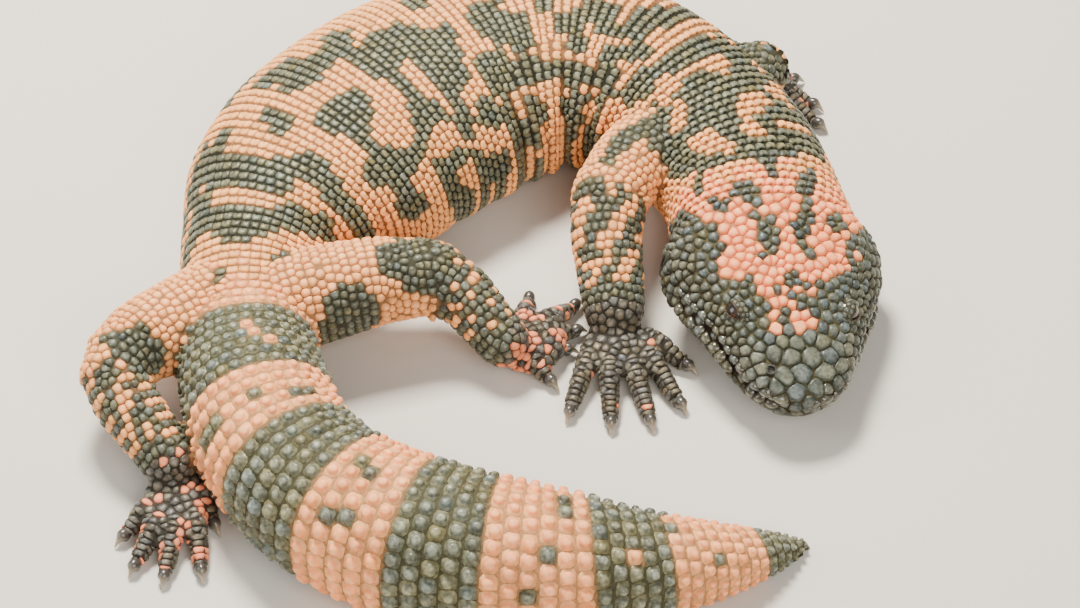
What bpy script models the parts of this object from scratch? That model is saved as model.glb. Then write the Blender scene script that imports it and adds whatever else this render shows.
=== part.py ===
"""A life-size Gila monster lying in a hook-shaped curve on a floor, as a still display model.

The body is one spine of bends carrying a rounded section; the limbs and digits are chains of lengths
and directions. Everything is worked out in millimetres and becomes metres where a mesh is made.
"""

import math

import bmesh
import bpy
import numpy as np

MM = 0.001
GAP = 0.3

# Spine: plan position of the tail tip, first heading, then (length, turn to the left) of each bend
TAIL_TIP = (63.1, -79.2)
TAIL_HEADING = 210.4
BENDS = (
    (60, -28),
    (45, -30),
    (45, -45),
    (40, -18),
    (40, -34),
    (60, -27),
    (55, -77),
    (45, -33),
    (62, 2),
)
BEND_BLUR = 20.0
SPINE_STEP = 0.5

# Body sections: station from the tail tip, half width, height, share of the height where it is widest
SECTIONS = (
    (0, 1.0, 2.2, 0.50),
    (6, 3.5, 6.6, 0.50),
    (14, 6.0, 11.2, 0.50),
    (28, 9.7, 18.0, 0.50),
    (43, 13.0, 24.0, 0.50),
    (58, 15.9, 29.4, 0.50),
    (75, 17.8, 33.0, 0.49),
    (100, 18.6, 34.5, 0.48),
    (125, 18.2, 33.8, 0.48),
    (150, 18.0, 33.3, 0.48),
    (170, 17.0, 31.5, 0.47),
    (188, 16.6, 30.5, 0.46),
    (205, 20.0, 32.0, 0.44),
    (225, 29.2, 35.5, 0.42),
    (245, 34.0, 38.5, 0.40),
    (270, 35.0, 40.0, 0.40),
    (300, 33.3, 38.5, 0.40),
    (325, 28.6, 36.0, 0.42),
    (345, 25.2, 33.5, 0.43),
    (365, 23.2, 32.5, 0.45),
    (385, 22.3, 31.0, 0.46),
    (400, 23.6, 30.8, 0.46),
)
SECTION_POWER = 2.2
BELLY_POWER = 2.6
FLOOR_SINK = 1.0
FLOOR_BLOCK = 400.0

# The head leans to its left as it rests: roll, the height it turns about, and how far the jaw is lifted
HEAD_ROLL = 9.0
ROLL_HEIGHT = 12.0
HEAD_LIFT = 3.0
NECK_TWIST = (355.0, 400.0)

# Head: its joint, then distance behind the snout, half width, crown height, height of the underside
HEAD_JOINT = 400.0
HEAD_LENGTH = 52.0
HEAD_OUTLINE = (
    (0.0, 3.6, 11.2, 4.6),
    (1.0, 6.4, 12.6, 3.2),
    (2.6, 8.8, 13.9, 2.2),
    (5.5, 11.4, 15.6, 1.2),
    (9.0, 13.5, 17.2, 0.6),
    (13.0, 15.3, 18.8, 0.2),
    (20.0, 18.6, 21.6, 0.0),
    (26.0, 21.8, 23.8, 0.0),
    (32.0, 24.8, 25.4, 0.0),
    (38.0, 27.1, 27.0, 0.0),
    (43.0, 27.8, 28.3, 0.0),
    (47.0, 27.0, 29.4, -0.5),
    (52.0, 23.6, 30.8, -1.0),
)
CROWN_CELLS = 9
HEAD_PITCH = 4.5
SNOUT_LINES = (9.5, 7.0, 5.0, 3.2, 1.8, 0.8, 0.0)
CHIN_SHARES = (0.3, 0.6, 0.85)
MOUTH_HEIGHT = 8.4
LIP_RISE = 2.6
MOUTH_CORNER = 37.0
MOUTH_FADE = 6.0
MOUTH_DEPTH = 1.3
LIP_HALF = 1.4
JAW_SETBACK = 1.6
SETBACK_REACH = 12.0

EYE_BACK = 23.0
EYE_SIDE = 13.6
EYE_HEIGHT = 18.4
EYE_RADIUS = 3.1
EYE_AIM = (-2.5, 8.0, 5.0)
EYE_FACETS = (16, 10)
LID_RADIUS = 3.7
LID_THICKNESS = 1.0
LID_LIFT = 0.9
LID_FACETS = (16, 8)
LID_MARGIN = 2.5
NOSTRIL_BACK = 6.6
NOSTRIL_SIDE = 8.0
NOSTRIL_HEIGHT = 12.6
NOSTRIL_RADIUS = 1.1
NOSTRIL_OUT = 0.6
EAR_BACK = 44.5
EAR_SIDE = 26.6
EAR_HEIGHT = 13.5
EAR_HALF = (1.6, 1.4, 3.0)
PIT_FACETS = (10, 6)

# Cells of the skin: each row of six-cornered cells is this long, and this share of it is the zigzag
ROW_PITCH = 6.2
ZIGZAG = 1 / 6
BEAD_RISE = 0.26
BEAD_ROOM = 1.0

# Lengths of the body: name, first and last station, cells across the back, colour
BODY_LENGTHS = (
    ("tail_tip", 0.0, 46.0, 7, "dark"),
    ("tail_end", 46.0, 92.0, 10, "rose"),
    ("tail_middle", 92.0, 136.0, 11, "dark"),
    ("tail_base", 136.0, 178.0, 11, "rose"),
    ("hips", 178.0, 214.0, 12, "dark"),
    ("loin", 214.0, 256.0, 15, "rose"),
    ("belly", 256.0, 296.0, 16, "rose"),
    ("chest", 296.0, 332.0, 16, "rose"),
    ("shoulders", 332.0, 368.0, 14, "dark"),
    ("neck", 368.0, HEAD_JOINT, 13, "rose"),
)
BACK_FROM = -24.0
BACK_TO = 204.0
CHORD_SLACK = 0.35
BELLY_ANGLES = (218.0, 236.0, 254.0, 270.0, 286.0, 304.0, 322.0)

# Limbs: root station, side of the spine (right is positive) and height; then (length, heading, fall) of
# the upper and lower bones, the radii at the root, middle, knee, shin and ankle, how far and which way
# the middle of the palm lies from the ankle, and for each digit, the first one first, its heading, its
# length, and how far forward of and to the right of the middle of the palm it roots
LIMBS = {
    "right_leg": {
        "root": (186.0, 6.0, 17.0),
        "bones": ((42.0, 15.0, -4.0), (24.5, -43.5, 26.0)),
        "radii": (13.0, 11.4, 9.4, 7.4, 6.6),
        "names": ("right_thigh", "right_shin", "right_foot"),
        "foot": (7.5, 25.0),
        "digits": (
            (81, 12.7, -0.5, -5.3),
            (47, 14.0, 2.5, -4.0),
            (24, 9.0, 3.0, -1.8),
            (3, 5.4, 2.4, 0.8),
            (-48, 8.6, -2.6, 1.8),
        ),
    },
    "left_leg": {
        "root": (186.0, -6.0, 17.0),
        "bones": ((35.8, 216.5, -5.0), (30.8, -50.0, 20.0)),
        "radii": (12.5, 10.8, 8.8, 7.6, 6.8),
        "names": ("left_thigh", "left_shin", "left_foot"),
        "foot": (8.0, -76.0),
        "digits": (
            (-132, 8.6, 0.6, 6.0),
            (-114, 14.4, 3.5, 3.6),
            (-98, 16.2, 4.4, 0.4),
            (-81, 17.0, 2.8, -3.4),
            (-62, 8.0, -1.2, -5.2),
        ),
    },
    "right_arm": {
        "root": (352.0, 6.0, 18.0),
        "bones": ((34.5, 235.5, -6.0), (31.0, -84.0, 24.0)),
        "radii": (11.0, 10.4, 9.6, 8.6, 7.6),
        "names": ("right_upper_arm", "right_forearm", "right_hand"),
        "foot": (8.5, -86.0),
        "digits": (
            (-35, 11.9, -2.5, -7.0),
            (-60, 18.5, 0.5, -5.6),
            (-75, 20.4, 2.0, -2.2),
            (-89, 20.0, 2.0, 2.2),
            (-107, 19.6, -0.5, 5.6),
        ),
    },
    "left_arm": {
        "root": (348.0, -8.0, 18.0),
        "bones": ((16.2, 27.0, -5.0), (12.8, 96.0, 41.0)),
        "radii": (10.5, 9.2, 8.0, 7.4, 6.6),
        "names": ("left_upper_arm", "left_forearm", "left_hand"),
        "foot": (2.0, -10.0),
        "digits": (
            (-70, 6.1, 0.0, 5.4),
            (-54, 12.0, 1.3, 4.2),
            (-36, 14.3, 2.3, 1.8),
            (-22, 10.6, 2.4, -1.2),
            (16, 6.4, 0.9, -4.2),
        ),
    },
}
LIMB_CELLS = 8
LIMB_PITCH = 7.0
CLEARANCE_REACH = 40.0
CLEARANCE_CELLS = 14
CLEARANCE_PITCH = 4.0
CUT_SLACK = 0.02
KNEE_SPREAD = 0.45
KNEE_ROUND = 0.16
ROOT_MARGIN = 2.0
ROOT_BACK = 4.0
PALM_HALF = (8.8, 8.2, 4.5)
PALM_HEIGHT = 4.2
PALM_FACETS = (16, 8)
WRIST_SIDES = 14
WRIST_REACH = (0.0, 0.4, 0.8, 1.2)
WRIST_TAPER = (1.0, 1.0, 0.93, 0.78)
DIGIT_RADII = (2.9, 2.7, 2.4, 2.0)
DIGIT_HEIGHTS = (4.6, 4.9, 3.4, 1.9)
DIGIT_SIDES = 8
CLAW_LENGTH = 4.6
CLAW_RADIUS = 1.25
CLAW_TIP = (0.3, 0.45)
CLAW_ARCH = 0.4
CLAW_SHARES = (0.0, 0.3, 0.65, 1.0)
CLAW_SIDES = 6

COLOURS = {
    "rose": (0.82, 0.46, 0.34, 1.0),
    "dark": (0.12, 0.12, 0.10, 1.0),
    "horn": (0.10, 0.08, 0.06, 1.0),
    "eye": (0.015, 0.010, 0.008, 1.0),
}
ROUGHNESS = {"rose": 0.5, "dark": 0.5, "horn": 0.35, "eye": 0.08}

# The middle of the whole model's footprint, which becomes the part's origin
FOOTPRINT_MIDDLE = (-13.1, -6.1)


def smooth_table(rows, at):
    """The table's columns at a place, on a monotone cubic through its rows."""
    table = np.array(rows, float)
    x, values = table[:, 0], table[:, 1:]
    step = np.diff(x)[:, None]
    rate = np.diff(values, axis=0) / step
    slope = np.zeros_like(values)
    same = rate[1:] * rate[:-1] > 0
    mean = 2 * rate[1:] * rate[:-1] / np.where(same, rate[1:] + rate[:-1], 1)
    slope[1:-1] = np.where(same, mean, 0)
    slope[0], slope[-1] = rate[0], rate[-1]
    i = int(np.clip(np.searchsorted(x, at) - 1, 0, len(x) - 2))
    width = x[i + 1] - x[i]
    t = min(max((at - x[i]) / width, 0.0), 1.0)
    start = (1 + 2 * t) * (1 - t) ** 2 * values[i] + t * (1 - t) ** 2 * width * slope[i]
    end = t * t * (3 - 2 * t) * values[i + 1] - t * t * (1 - t) * width * slope[i + 1]
    return start + end


def ease(value, low, high):
    """0 below low, 1 above high, smooth between."""
    t = min(max((value - low) / (high - low), 0.0), 1.0)
    return t * t * (3 - 2 * t)


def walk_spine():
    """Stations, plan points and headings along the bends, with the changes of bend blurred."""
    stations = np.arange(0, sum(length for length, _ in BENDS), SPINE_STEP)
    rate = np.zeros(len(stations))
    start = 0
    for length, turn in BENDS:
        rate[(stations >= start) & (stations < start + length)] = turn / length
        start += length
    blur = int(BEND_BLUR / SPINE_STEP)
    padded = np.pad(rate, blur, mode="edge")
    rate = np.convolve(padded, np.ones(blur) / blur, mode="same")[blur:-blur]
    headings = np.radians(TAIL_HEADING + np.concatenate([[0], np.cumsum(rate * SPINE_STEP)]))
    along = np.stack([np.cos(headings), np.sin(headings)], axis=1)
    steps = (along[1:] + along[:-1]) / 2 * SPINE_STEP
    points = np.array(TAIL_TIP) + np.concatenate([[[0, 0]], np.cumsum(steps, axis=0)])
    return np.arange(len(headings)) * SPINE_STEP, points, headings


STATIONS, SPINE, HEADINGS = walk_spine()


def spine_frame(station):
    """Point on the floor under the spine, forward and right-hand directions, at a station."""
    x = np.interp(station, STATIONS, SPINE[:, 0])
    y = np.interp(station, STATIONS, SPINE[:, 1])
    heading = np.interp(station, STATIONS, HEADINGS)
    forward = np.array([math.cos(heading), math.sin(heading), 0.0])
    right = np.array([math.sin(heading), -math.cos(heading), 0.0])
    return np.array([x, y, 0.0]), forward, right


def rolled(side, height, amount):
    """Side and height after a share of the head's roll and lift, kept above the floor."""
    angle = math.radians(HEAD_ROLL * amount)
    above = height - ROLL_HEIGHT
    turned_side = side * math.cos(angle) - above * math.sin(angle)
    turned_height = ROLL_HEIGHT + side * math.sin(angle) + above * math.cos(angle)
    return turned_side, max(turned_height + HEAD_LIFT * amount, 0.0)


def rounded(angle, half_width, middle, top, bottom):
    """Side and height on a rounded outline; 0 degrees is the right side and 90 the top."""
    across = math.cos(math.radians(angle))
    up = math.sin(math.radians(angle))
    side = half_width * math.copysign(abs(across) ** (2 / SECTION_POWER), across)
    if up > 0:
        return side, middle + (top - middle) * up
    return side, middle - (middle - bottom) * abs(up) ** (2 / BELLY_POWER)


def body_point(station, angle, lift=0.0, shift=0.0):
    """Point of the body's skin, raised by lift, its ring shifted forward by shift."""
    half_width, height, share = smooth_table(SECTIONS, station)
    middle = share * height
    side, up = rounded(angle, half_width + lift, middle, height + lift, -FLOOR_SINK - lift)
    side, up = rolled(side, up, ease(station, *NECK_TWIST))
    foot, forward, right = spine_frame(station)
    return foot + forward * shift + right * side + np.array([0, 0, up])


def head_place(behind, side, height):
    """A point given in the head's own directions: behind the snout, to its right, and up."""
    foot, forward, right = spine_frame(HEAD_JOINT)
    side, up = rolled(side, height, 1.0)
    return foot + forward * (HEAD_LENGTH - behind) + right * side + np.array([0, 0, up])


def head_point(behind, angle, shift=0.0):
    """Point of the head's skin, with the mouth line pressed in between the lips."""
    half_width, crown, under = smooth_table(HEAD_OUTLINE, behind)
    neck_middle = SECTIONS[-1][3] * SECTIONS[-1][2]
    blend = ease(behind, MOUTH_CORNER, HEAD_LENGTH)
    middle = (1 - blend) * (MOUTH_HEIGHT + LIP_RISE) + blend * neck_middle
    middle = min(middle, (crown + MOUTH_HEIGHT) / 2)
    side, up = rounded(angle, half_width, middle, crown, under)
    closed = 1 - ease(behind, MOUTH_CORNER - MOUTH_FADE, MOUTH_CORNER)
    press = MOUTH_DEPTH * closed * max(0.0, 1 - abs(up - MOUTH_HEIGHT) / LIP_HALF)
    side -= math.copysign(min(press, abs(side)), side)
    below = 1 - ease(up, MOUTH_HEIGHT - LIP_HALF, MOUTH_HEIGHT)
    back = JAW_SETBACK * below * ease(-behind, -SETBACK_REACH, 0.0)
    return head_place(behind + back - shift, side, up)


def head_angle(behind, height):
    """The angle, on the right side, at which the head's lower outline has this height."""
    _, crown, under = smooth_table(HEAD_OUTLINE, behind)
    blend = ease(behind, MOUTH_CORNER, HEAD_LENGTH)
    neck_middle = SECTIONS[-1][3] * SECTIONS[-1][2]
    middle = (1 - blend) * (MOUTH_HEIGHT + LIP_RISE) + blend * neck_middle
    middle = min(middle, (crown + MOUTH_HEIGHT) / 2)
    share = min(max((middle - height) / (middle - under), 0.0), 1.0)
    return -math.degrees(math.asin(share ** (BELLY_POWER / 2)))


def band_faces(first, last, count, row):
    """First column and width of each face of one band: staggered pairs between first and last."""
    column = 0
    while column < count:
        paired = first <= column and column + 2 <= last and (column - first + row) % 2 == 0
        width = 2 if paired else 1
        yield column, width
        column += width


def face_outward(mesh):
    """Turns every face of a closed bmesh outward."""
    bmesh.ops.recalc_face_normals(mesh, faces=mesh.faces)
    if mesh.calc_volume(signed=True) < 0:
        bmesh.ops.reverse_faces(mesh, faces=mesh.faces)


def skin_mesh(place, lines, columns, first, last, bare):
    """A closed bmesh of rings, with staggered raised cells between the columns first and last.

    place(line, column, zigzag) gives a point, lines is how many rings there are, and bare(point) tells
    where no bead is raised.
    """
    mesh = bmesh.new()
    rings = []
    for line in range(lines):
        inner = 0 < line < lines - 1
        ring = []
        for column in range(columns):
            zigzag = 0.0
            if inner and first < column < last:
                zigzag = ZIGZAG if (column - first + line) % 2 == 0 else -ZIGZAG
            ring.append(mesh.verts.new(place(line, column, zigzag) * MM))
        rings.append(ring)
    cells = []
    for row in range(lines - 1):
        for column, width in band_faces(first, last, columns, row):
            near = [rings[row][(column + i) % columns] for i in range(width + 1)]
            far = [rings[row + 1][(column + i) % columns] for i in range(width, -1, -1)]
            face = mesh.faces.new(near + far)
            if width == 2:
                cells.append(face)
    mesh.faces.new(list(reversed(rings[0])))
    mesh.faces.new(rings[-1])
    face_outward(mesh)
    raised = [face for face in cells if not bare(face.calc_center_median())]
    bmesh.ops.poke(mesh, faces=raised, offset=BEAD_RISE, use_relative_offset=True)
    return mesh


def material(colour):
    """The Principled material of a colour, made once."""
    found = bpy.data.materials.get(colour)
    if found:
        return found
    made = bpy.data.materials.new(colour)
    made.use_nodes = True
    shader = made.node_tree.nodes["Principled BSDF"]
    shader.inputs["Base Color"].default_value = COLOURS[colour]
    shader.inputs["Roughness"].default_value = ROUGHNESS[colour]
    shader.inputs["Metallic"].default_value = 0.0
    return made


def add_object(name, mesh, colour=None):
    """An object from a bmesh whose points are in metres; without a colour it is a helper."""
    data = bpy.data.meshes.new(name)
    mesh.to_mesh(data)
    mesh.free()
    made = bpy.data.objects.new(name, data)
    bpy.context.scene.collection.objects.link(made)
    if colour:
        data.materials.append(material(colour))
        data.shade_smooth()
        data.set_sharp_from_angle(angle=math.radians(50))
    return made


def boolean(target, others, operation):
    """Joins or cuts a target with other objects, applied, and removes them."""
    group = bpy.data.collections.new("operands")
    for other in others:
        group.objects.link(other)
    modifier = target.modifiers.new(operation.lower(), "BOOLEAN")
    modifier.operation = operation
    modifier.operand_type = "COLLECTION"
    modifier.collection = group
    modifier.solver = "EXACT"
    graph = bpy.context.evaluated_depsgraph_get()
    result = bpy.data.meshes.new_from_object(target.evaluated_get(graph))
    target.modifiers.clear()
    old = target.data
    target.data = result
    bpy.data.meshes.remove(old)
    for other in others:
        bpy.data.objects.remove(other)
    bpy.data.collections.remove(group)


def keep_largest(target):
    """Keeps only the largest closed surface of an object."""
    mesh = bmesh.new()
    mesh.from_mesh(target.data)
    left = set(mesh.verts)
    shells = []
    while left:
        shell = {left.pop()}
        edge = list(shell)
        while edge:
            vert = edge.pop()
            for link in vert.link_edges:
                other = link.other_vert(vert)
                if other in left:
                    left.remove(other)
                    shell.add(other)
                    edge.append(other)
        shells.append(shell)
    shells.sort(key=len)
    for shell in shells[:-1]:
        bmesh.ops.delete(mesh, geom=list(shell), context="VERTS")
    mesh.to_mesh(target.data)
    mesh.free()


def cut_at_floor(target):
    """Cuts away what reaches below the floor, which leaves flats that the piece rests on."""
    ground = bmesh.new()
    bmesh.ops.create_cube(ground, size=1.0)
    for vert in ground.verts:
        vert.co = vert.co * FLOOR_BLOCK * MM
        vert.co.z -= FLOOR_BLOCK / 2 * MM
    boolean(target, [add_object("ground", ground)], "DIFFERENCE")


def near_limb(point):
    """Whether a point in metres lies where a limb grows, so that the skin stays smooth there."""
    for limb in LIMBS.values():
        start, end, _ = limb_joints(limb)
        along = (end - start) / np.linalg.norm(end - start)
        offset = np.array(point) / MM - start
        ahead = offset @ along
        aside = np.linalg.norm(offset - along * ahead)
        if aside < limb["radii"][0] + ROOT_MARGIN and ahead > -ROOT_BACK:
            return True
    return False


def near_spine(point):
    """Whether a point in metres lies inside the body or close to it, where a limb grows out of it."""
    spot = np.array(point) / MM
    reaches = np.linalg.norm(SPINE - spot[:2], axis=1)
    nearest = int(reaches.argmin())
    half_width = smooth_table(SECTIONS, STATIONS[nearest])[0]
    return bool(reaches[nearest] < half_width + ROOT_MARGIN)


def plain(_):
    """A cutter's skin has no bead anywhere."""
    return True


def body_mesh(first_station, last_station, cells, pitch, lift, gap, bare):
    """One length of the body between two cuts, set back by half a gap at each."""
    back = 2 * cells
    angles = list(np.linspace(BACK_FROM, BACK_TO, back + 1)) + list(BELLY_ANGLES)
    rows = max(3, round((last_station - first_station) / pitch))
    step = (last_station - first_station) / rows
    start_gap = gap / 2 if first_station > 0 else 0.0
    end_gap = -gap / 2

    def place(line, column, zigzag):
        station = first_station + (line + zigzag) * step
        shift = start_gap if line == 0 else end_gap if line == rows else 0.0
        return body_point(station, angles[column], lift, shift)

    return skin_mesh(place, rows + 1, len(angles), 0, back, bare)


def direction(heading, fall):
    """A unit vector from a heading and an angle of fall, in degrees."""
    turned = math.radians(heading)
    drop = math.radians(fall)
    flat = math.cos(drop)
    return np.array([flat * math.cos(turned), flat * math.sin(turned), -math.sin(drop)])


def limb_joints(limb):
    """Root, knee or elbow, and ankle or wrist of a limb."""
    station, side, height = limb["root"]
    foot, _, right = spine_frame(station)
    points = [foot + right * side + np.array([0, 0, height])]
    for length, heading, fall in limb["bones"]:
        points.append(points[-1] + direction(heading, fall) * length)
    return points


def bent_path(points, share):
    """A point on a bent line rounded at its middle joint; share runs from 0 to 2."""
    start, middle, end = points
    if share < 1:
        weight = share
        straight = start + (middle - start) * weight
    else:
        weight = share - 1
        straight = middle + (end - middle) * weight
    near = max(0.0, 1 - abs(share - 1) / KNEE_SPREAD)
    chord = (start + end) / 2 - middle
    return straight + chord * KNEE_ROUND * near * near * (3 - 2 * near)


def across_axes(forward):
    """Side and up directions square to a forward one, with the side level."""
    side = np.cross(forward, (0, 0, 1.0))
    side /= np.linalg.norm(side)
    return side, np.cross(side, forward)


def limb_ring(limb, share, angle, shift):
    """Point on a limb's skin; share runs from 0 at the root over 1 at the knee to 2 at the ankle."""
    points = limb_joints(limb)
    centre = bent_path(points, share)
    forward = bent_path(points, min(share + 0.02, 2.0)) - bent_path(points, max(share - 0.02, 0.0))
    forward /= np.linalg.norm(forward)
    side, up = across_axes(forward)
    stops = [(i * 0.5, radius) for i, radius in enumerate(limb["radii"])]
    radius = smooth_table(stops, share)[0]
    turned = math.radians(angle)
    return centre + forward * shift + side * radius * math.cos(turned) + up * radius * math.sin(turned)


def limb_mesh(limb, from_share, to_share):
    """One length of a limb between two cuts."""
    length = limb["bones"][0 if from_share < 1 else 1][0]
    rows = max(3, round(length * (to_share - from_share) / LIMB_PITCH))
    step = (to_share - from_share) / rows
    columns = 2 * LIMB_CELLS

    def place(line, column, zigzag):
        share = from_share + (line + zigzag) * step
        shift = GAP / 2 if line == 0 else -GAP / 2 if line == rows else 0.0
        angle = -90.0 + 360.0 * column / columns
        return limb_ring(limb, share, angle, shift)

    return skin_mesh(place, rows + 1, columns, 1, columns - 1, near_spine)


def tube_mesh(centres, radii, sides, facing=None):
    """A closed tube of rings through centres, square to the path, the first one square to facing."""
    mesh = bmesh.new()
    rings = []
    last = len(centres) - 1
    for i, (centre, radius) in enumerate(zip(centres, radii)):
        forward = centres[min(i + 1, last)] - centres[max(i - 1, 0)]
        if i == 0 and facing is not None:
            forward = facing
        forward = forward / np.linalg.norm(forward)
        side, up = across_axes(forward)
        ring = []
        for k in range(sides):
            turned = 2 * math.pi * (k + 0.5) / sides
            spot = centre + side * radius * math.cos(turned) + up * radius * math.sin(turned)
            ring.append(mesh.verts.new(spot * MM))
        rings.append(ring)
    for near, far in zip(rings, rings[1:]):
        for k in range(sides):
            mesh.faces.new((near[k], near[(k + 1) % sides], far[(k + 1) % sides], far[k]))
    mesh.faces.new(list(reversed(rings[0])))
    mesh.faces.new(rings[-1])
    face_outward(mesh)
    return mesh


def palm_middle(limb):
    """Middle of a palm or sole, a short way past the ankle."""
    reach, heading = limb["foot"]
    middle = limb_joints(limb)[2] + direction(heading, 0) * reach
    middle[2] = PALM_HEIGHT
    return middle


def wrist_cut(limb):
    """Middle and direction of the cut where a hand or foot meets its limb."""
    points = limb_joints(limb)
    approach = points[2] - points[1]
    approach /= np.linalg.norm(approach)
    return points[2] + approach * GAP / 2, approach


def wrist_mesh(limb):
    """A short stub from the ankle's cut into the palm, along the forearm or shin."""
    start, approach = wrist_cut(limb)
    radius = limb["radii"][-1]
    centres = [start + approach * radius * share for share in WRIST_REACH]
    radii = [radius * share for share in WRIST_TAPER]
    return tube_mesh(centres, radii, WRIST_SIDES)


def forearm_room(limb):
    """The room that the end of the forearm or shin takes up, which the palm and digits are cut clear of."""
    start, approach = wrist_cut(limb)
    radius = limb["radii"][-1] + GAP + BEAD_ROOM
    ends = [start - approach * 2 * radius, start - approach * CUT_SLACK]
    return tube_mesh(ends, (radius, radius), WRIST_SIDES)


def palm_mesh(limb):
    """The flattened pad of a palm or sole, longer than it is wide, lying along its heading."""
    mesh = ball_mesh(np.zeros(3), 1.0, PALM_FACETS, PALM_HALF)
    heading = math.radians(limb["foot"][1])
    turn = np.array([[math.cos(heading), -math.sin(heading)], [math.sin(heading), math.cos(heading)]])
    middle = palm_middle(limb)
    for vert in mesh.verts:
        flat = turn @ np.array(vert.co[:2]) + middle[:2] * MM
        vert.co = (flat[0], flat[1], vert.co[2] + middle[2] * MM)
    return mesh


def digit_points(limb, heading, length, ahead, aside):
    """Centres along a digit from inside the palm to where its claw grows, and its direction."""
    toward = direction(limb["foot"][1], 0)
    right = np.cross(toward, (0, 0, 1.0))
    root = palm_middle(limb) + toward * ahead + right * aside
    outward = direction(heading, 0)
    points = []
    for i, height in enumerate(DIGIT_HEIGHTS):
        spot = root + outward * length * i / (len(DIGIT_HEIGHTS) - 1)
        spot[2] = height
        points.append(spot)
    return points, outward


def claw_mesh(before, end, outward):
    """A curved claw that starts square to a digit's end and comes down to just above the floor."""
    facing = (end - before) / np.linalg.norm(end - before)
    tip_radius, tip_height = CLAW_TIP
    centres = []
    radii = []
    for share in CLAW_SHARES:
        spot = end + facing * GAP + outward * CLAW_LENGTH * share
        drop = tip_height + tip_radius - spot[2]
        spot[2] += drop * share**2 + CLAW_ARCH * math.sin(math.pi * share)
        centres.append(spot)
        radii.append(CLAW_RADIUS + (tip_radius - CLAW_RADIUS) * share)
    return tube_mesh(centres, radii, CLAW_SIDES, facing)


def clear_of_body(piece, point, room):
    """Cuts a piece clear of the body nearest a point, by the gap between pieces that meet and more room."""
    reaches = np.linalg.norm(SPINE - point[:2], axis=1)
    station = STATIONS[int(reaches.argmin())]
    first = max(station - CLEARANCE_REACH, 0.0)
    last = min(station + CLEARANCE_REACH, HEAD_JOINT)
    lift = GAP + CHORD_SLACK + room
    mesh = body_mesh(first, last, CLEARANCE_CELLS, CLEARANCE_PITCH, lift, 0.0, plain)
    boolean(piece, [add_object("clearance", mesh)], "DIFFERENCE")
    keep_largest(piece)


def build_foot(limb, holder):
    """A hand or foot: palm with its digits fused, and each claw as a piece of its own."""
    name = limb["names"][2]
    foot = add_object(name, palm_mesh(limb), "dark")
    digits = [add_object("wrist", wrist_mesh(limb))]
    for number, digit in enumerate(limb["digits"], start=1):
        points, outward = digit_points(limb, *digit)
        digits.append(add_object(f"digit_{number}", tube_mesh(points, DIGIT_RADII, DIGIT_SIDES)))
        claw = add_object(f"{name}_claw_{number}", claw_mesh(*points[-2:], outward), "horn")
        claw.parent = holder
    boolean(foot, digits, "UNION")
    boolean(foot, [add_object("room", forearm_room(limb))], "DIFFERENCE")
    cut_at_floor(foot)
    clear_of_body(foot, palm_middle(limb), BEAD_ROOM)
    foot.parent = holder


def build_limb(limb, holder):
    """Upper and lower limb, cut clear of the body that the upper one grows from."""
    upper_name, lower_name, _ = limb["names"]
    joints = limb_joints(limb)
    for number, name in enumerate((upper_name, lower_name)):
        piece = add_object(name, limb_mesh(limb, number, number + 1.0), "dark")
        clear_of_body(piece, joints[number], number * BEAD_ROOM)
        piece.parent = holder


def ball_mesh(centre, radius, facets, stretch=(1.0, 1.0, 1.0)):
    """A ball, or an egg when stretched, round a centre; facets are its segments and rings."""
    mesh = bmesh.new()
    bmesh.ops.create_uvsphere(mesh, u_segments=facets[0], v_segments=facets[1], radius=1.0)
    size = np.array(stretch) * radius
    for vert in mesh.verts:
        vert.co = (np.array(vert.co) * size + centre) * MM
    return mesh


def lid_mesh(centre, outward):
    """The ring of lids round an eye, as a torus square to the way the eye looks."""
    mesh = bmesh.new()
    side, up = across_axes(outward)
    around, thick = LID_FACETS
    rings = []
    for i in range(around):
        turn = 2 * math.pi * i / around
        spoke = side * math.cos(turn) + up * math.sin(turn)
        ring = []
        for k in range(thick):
            wrap = 2 * math.pi * k / thick
            spot = centre + spoke * (LID_RADIUS + LID_THICKNESS * math.cos(wrap))
            spot = spot + outward * (LID_LIFT + LID_THICKNESS * math.sin(wrap))
            ring.append(mesh.verts.new(spot * MM))
        rings.append(ring)
    for i in range(around):
        near, far = rings[i], rings[(i + 1) % around]
        for k in range(thick):
            mesh.faces.new((near[k], far[k], far[(k + 1) % thick], near[(k + 1) % thick]))
    face_outward(mesh)
    return mesh


def head_lines():
    """Distances behind the snout of the head's rings, from the neck forward, closer at the snout."""
    return list(np.arange(HEAD_LENGTH, SNOUT_LINES[0] + HEAD_PITCH / 2, -HEAD_PITCH)) + list(SNOUT_LINES)


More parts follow.
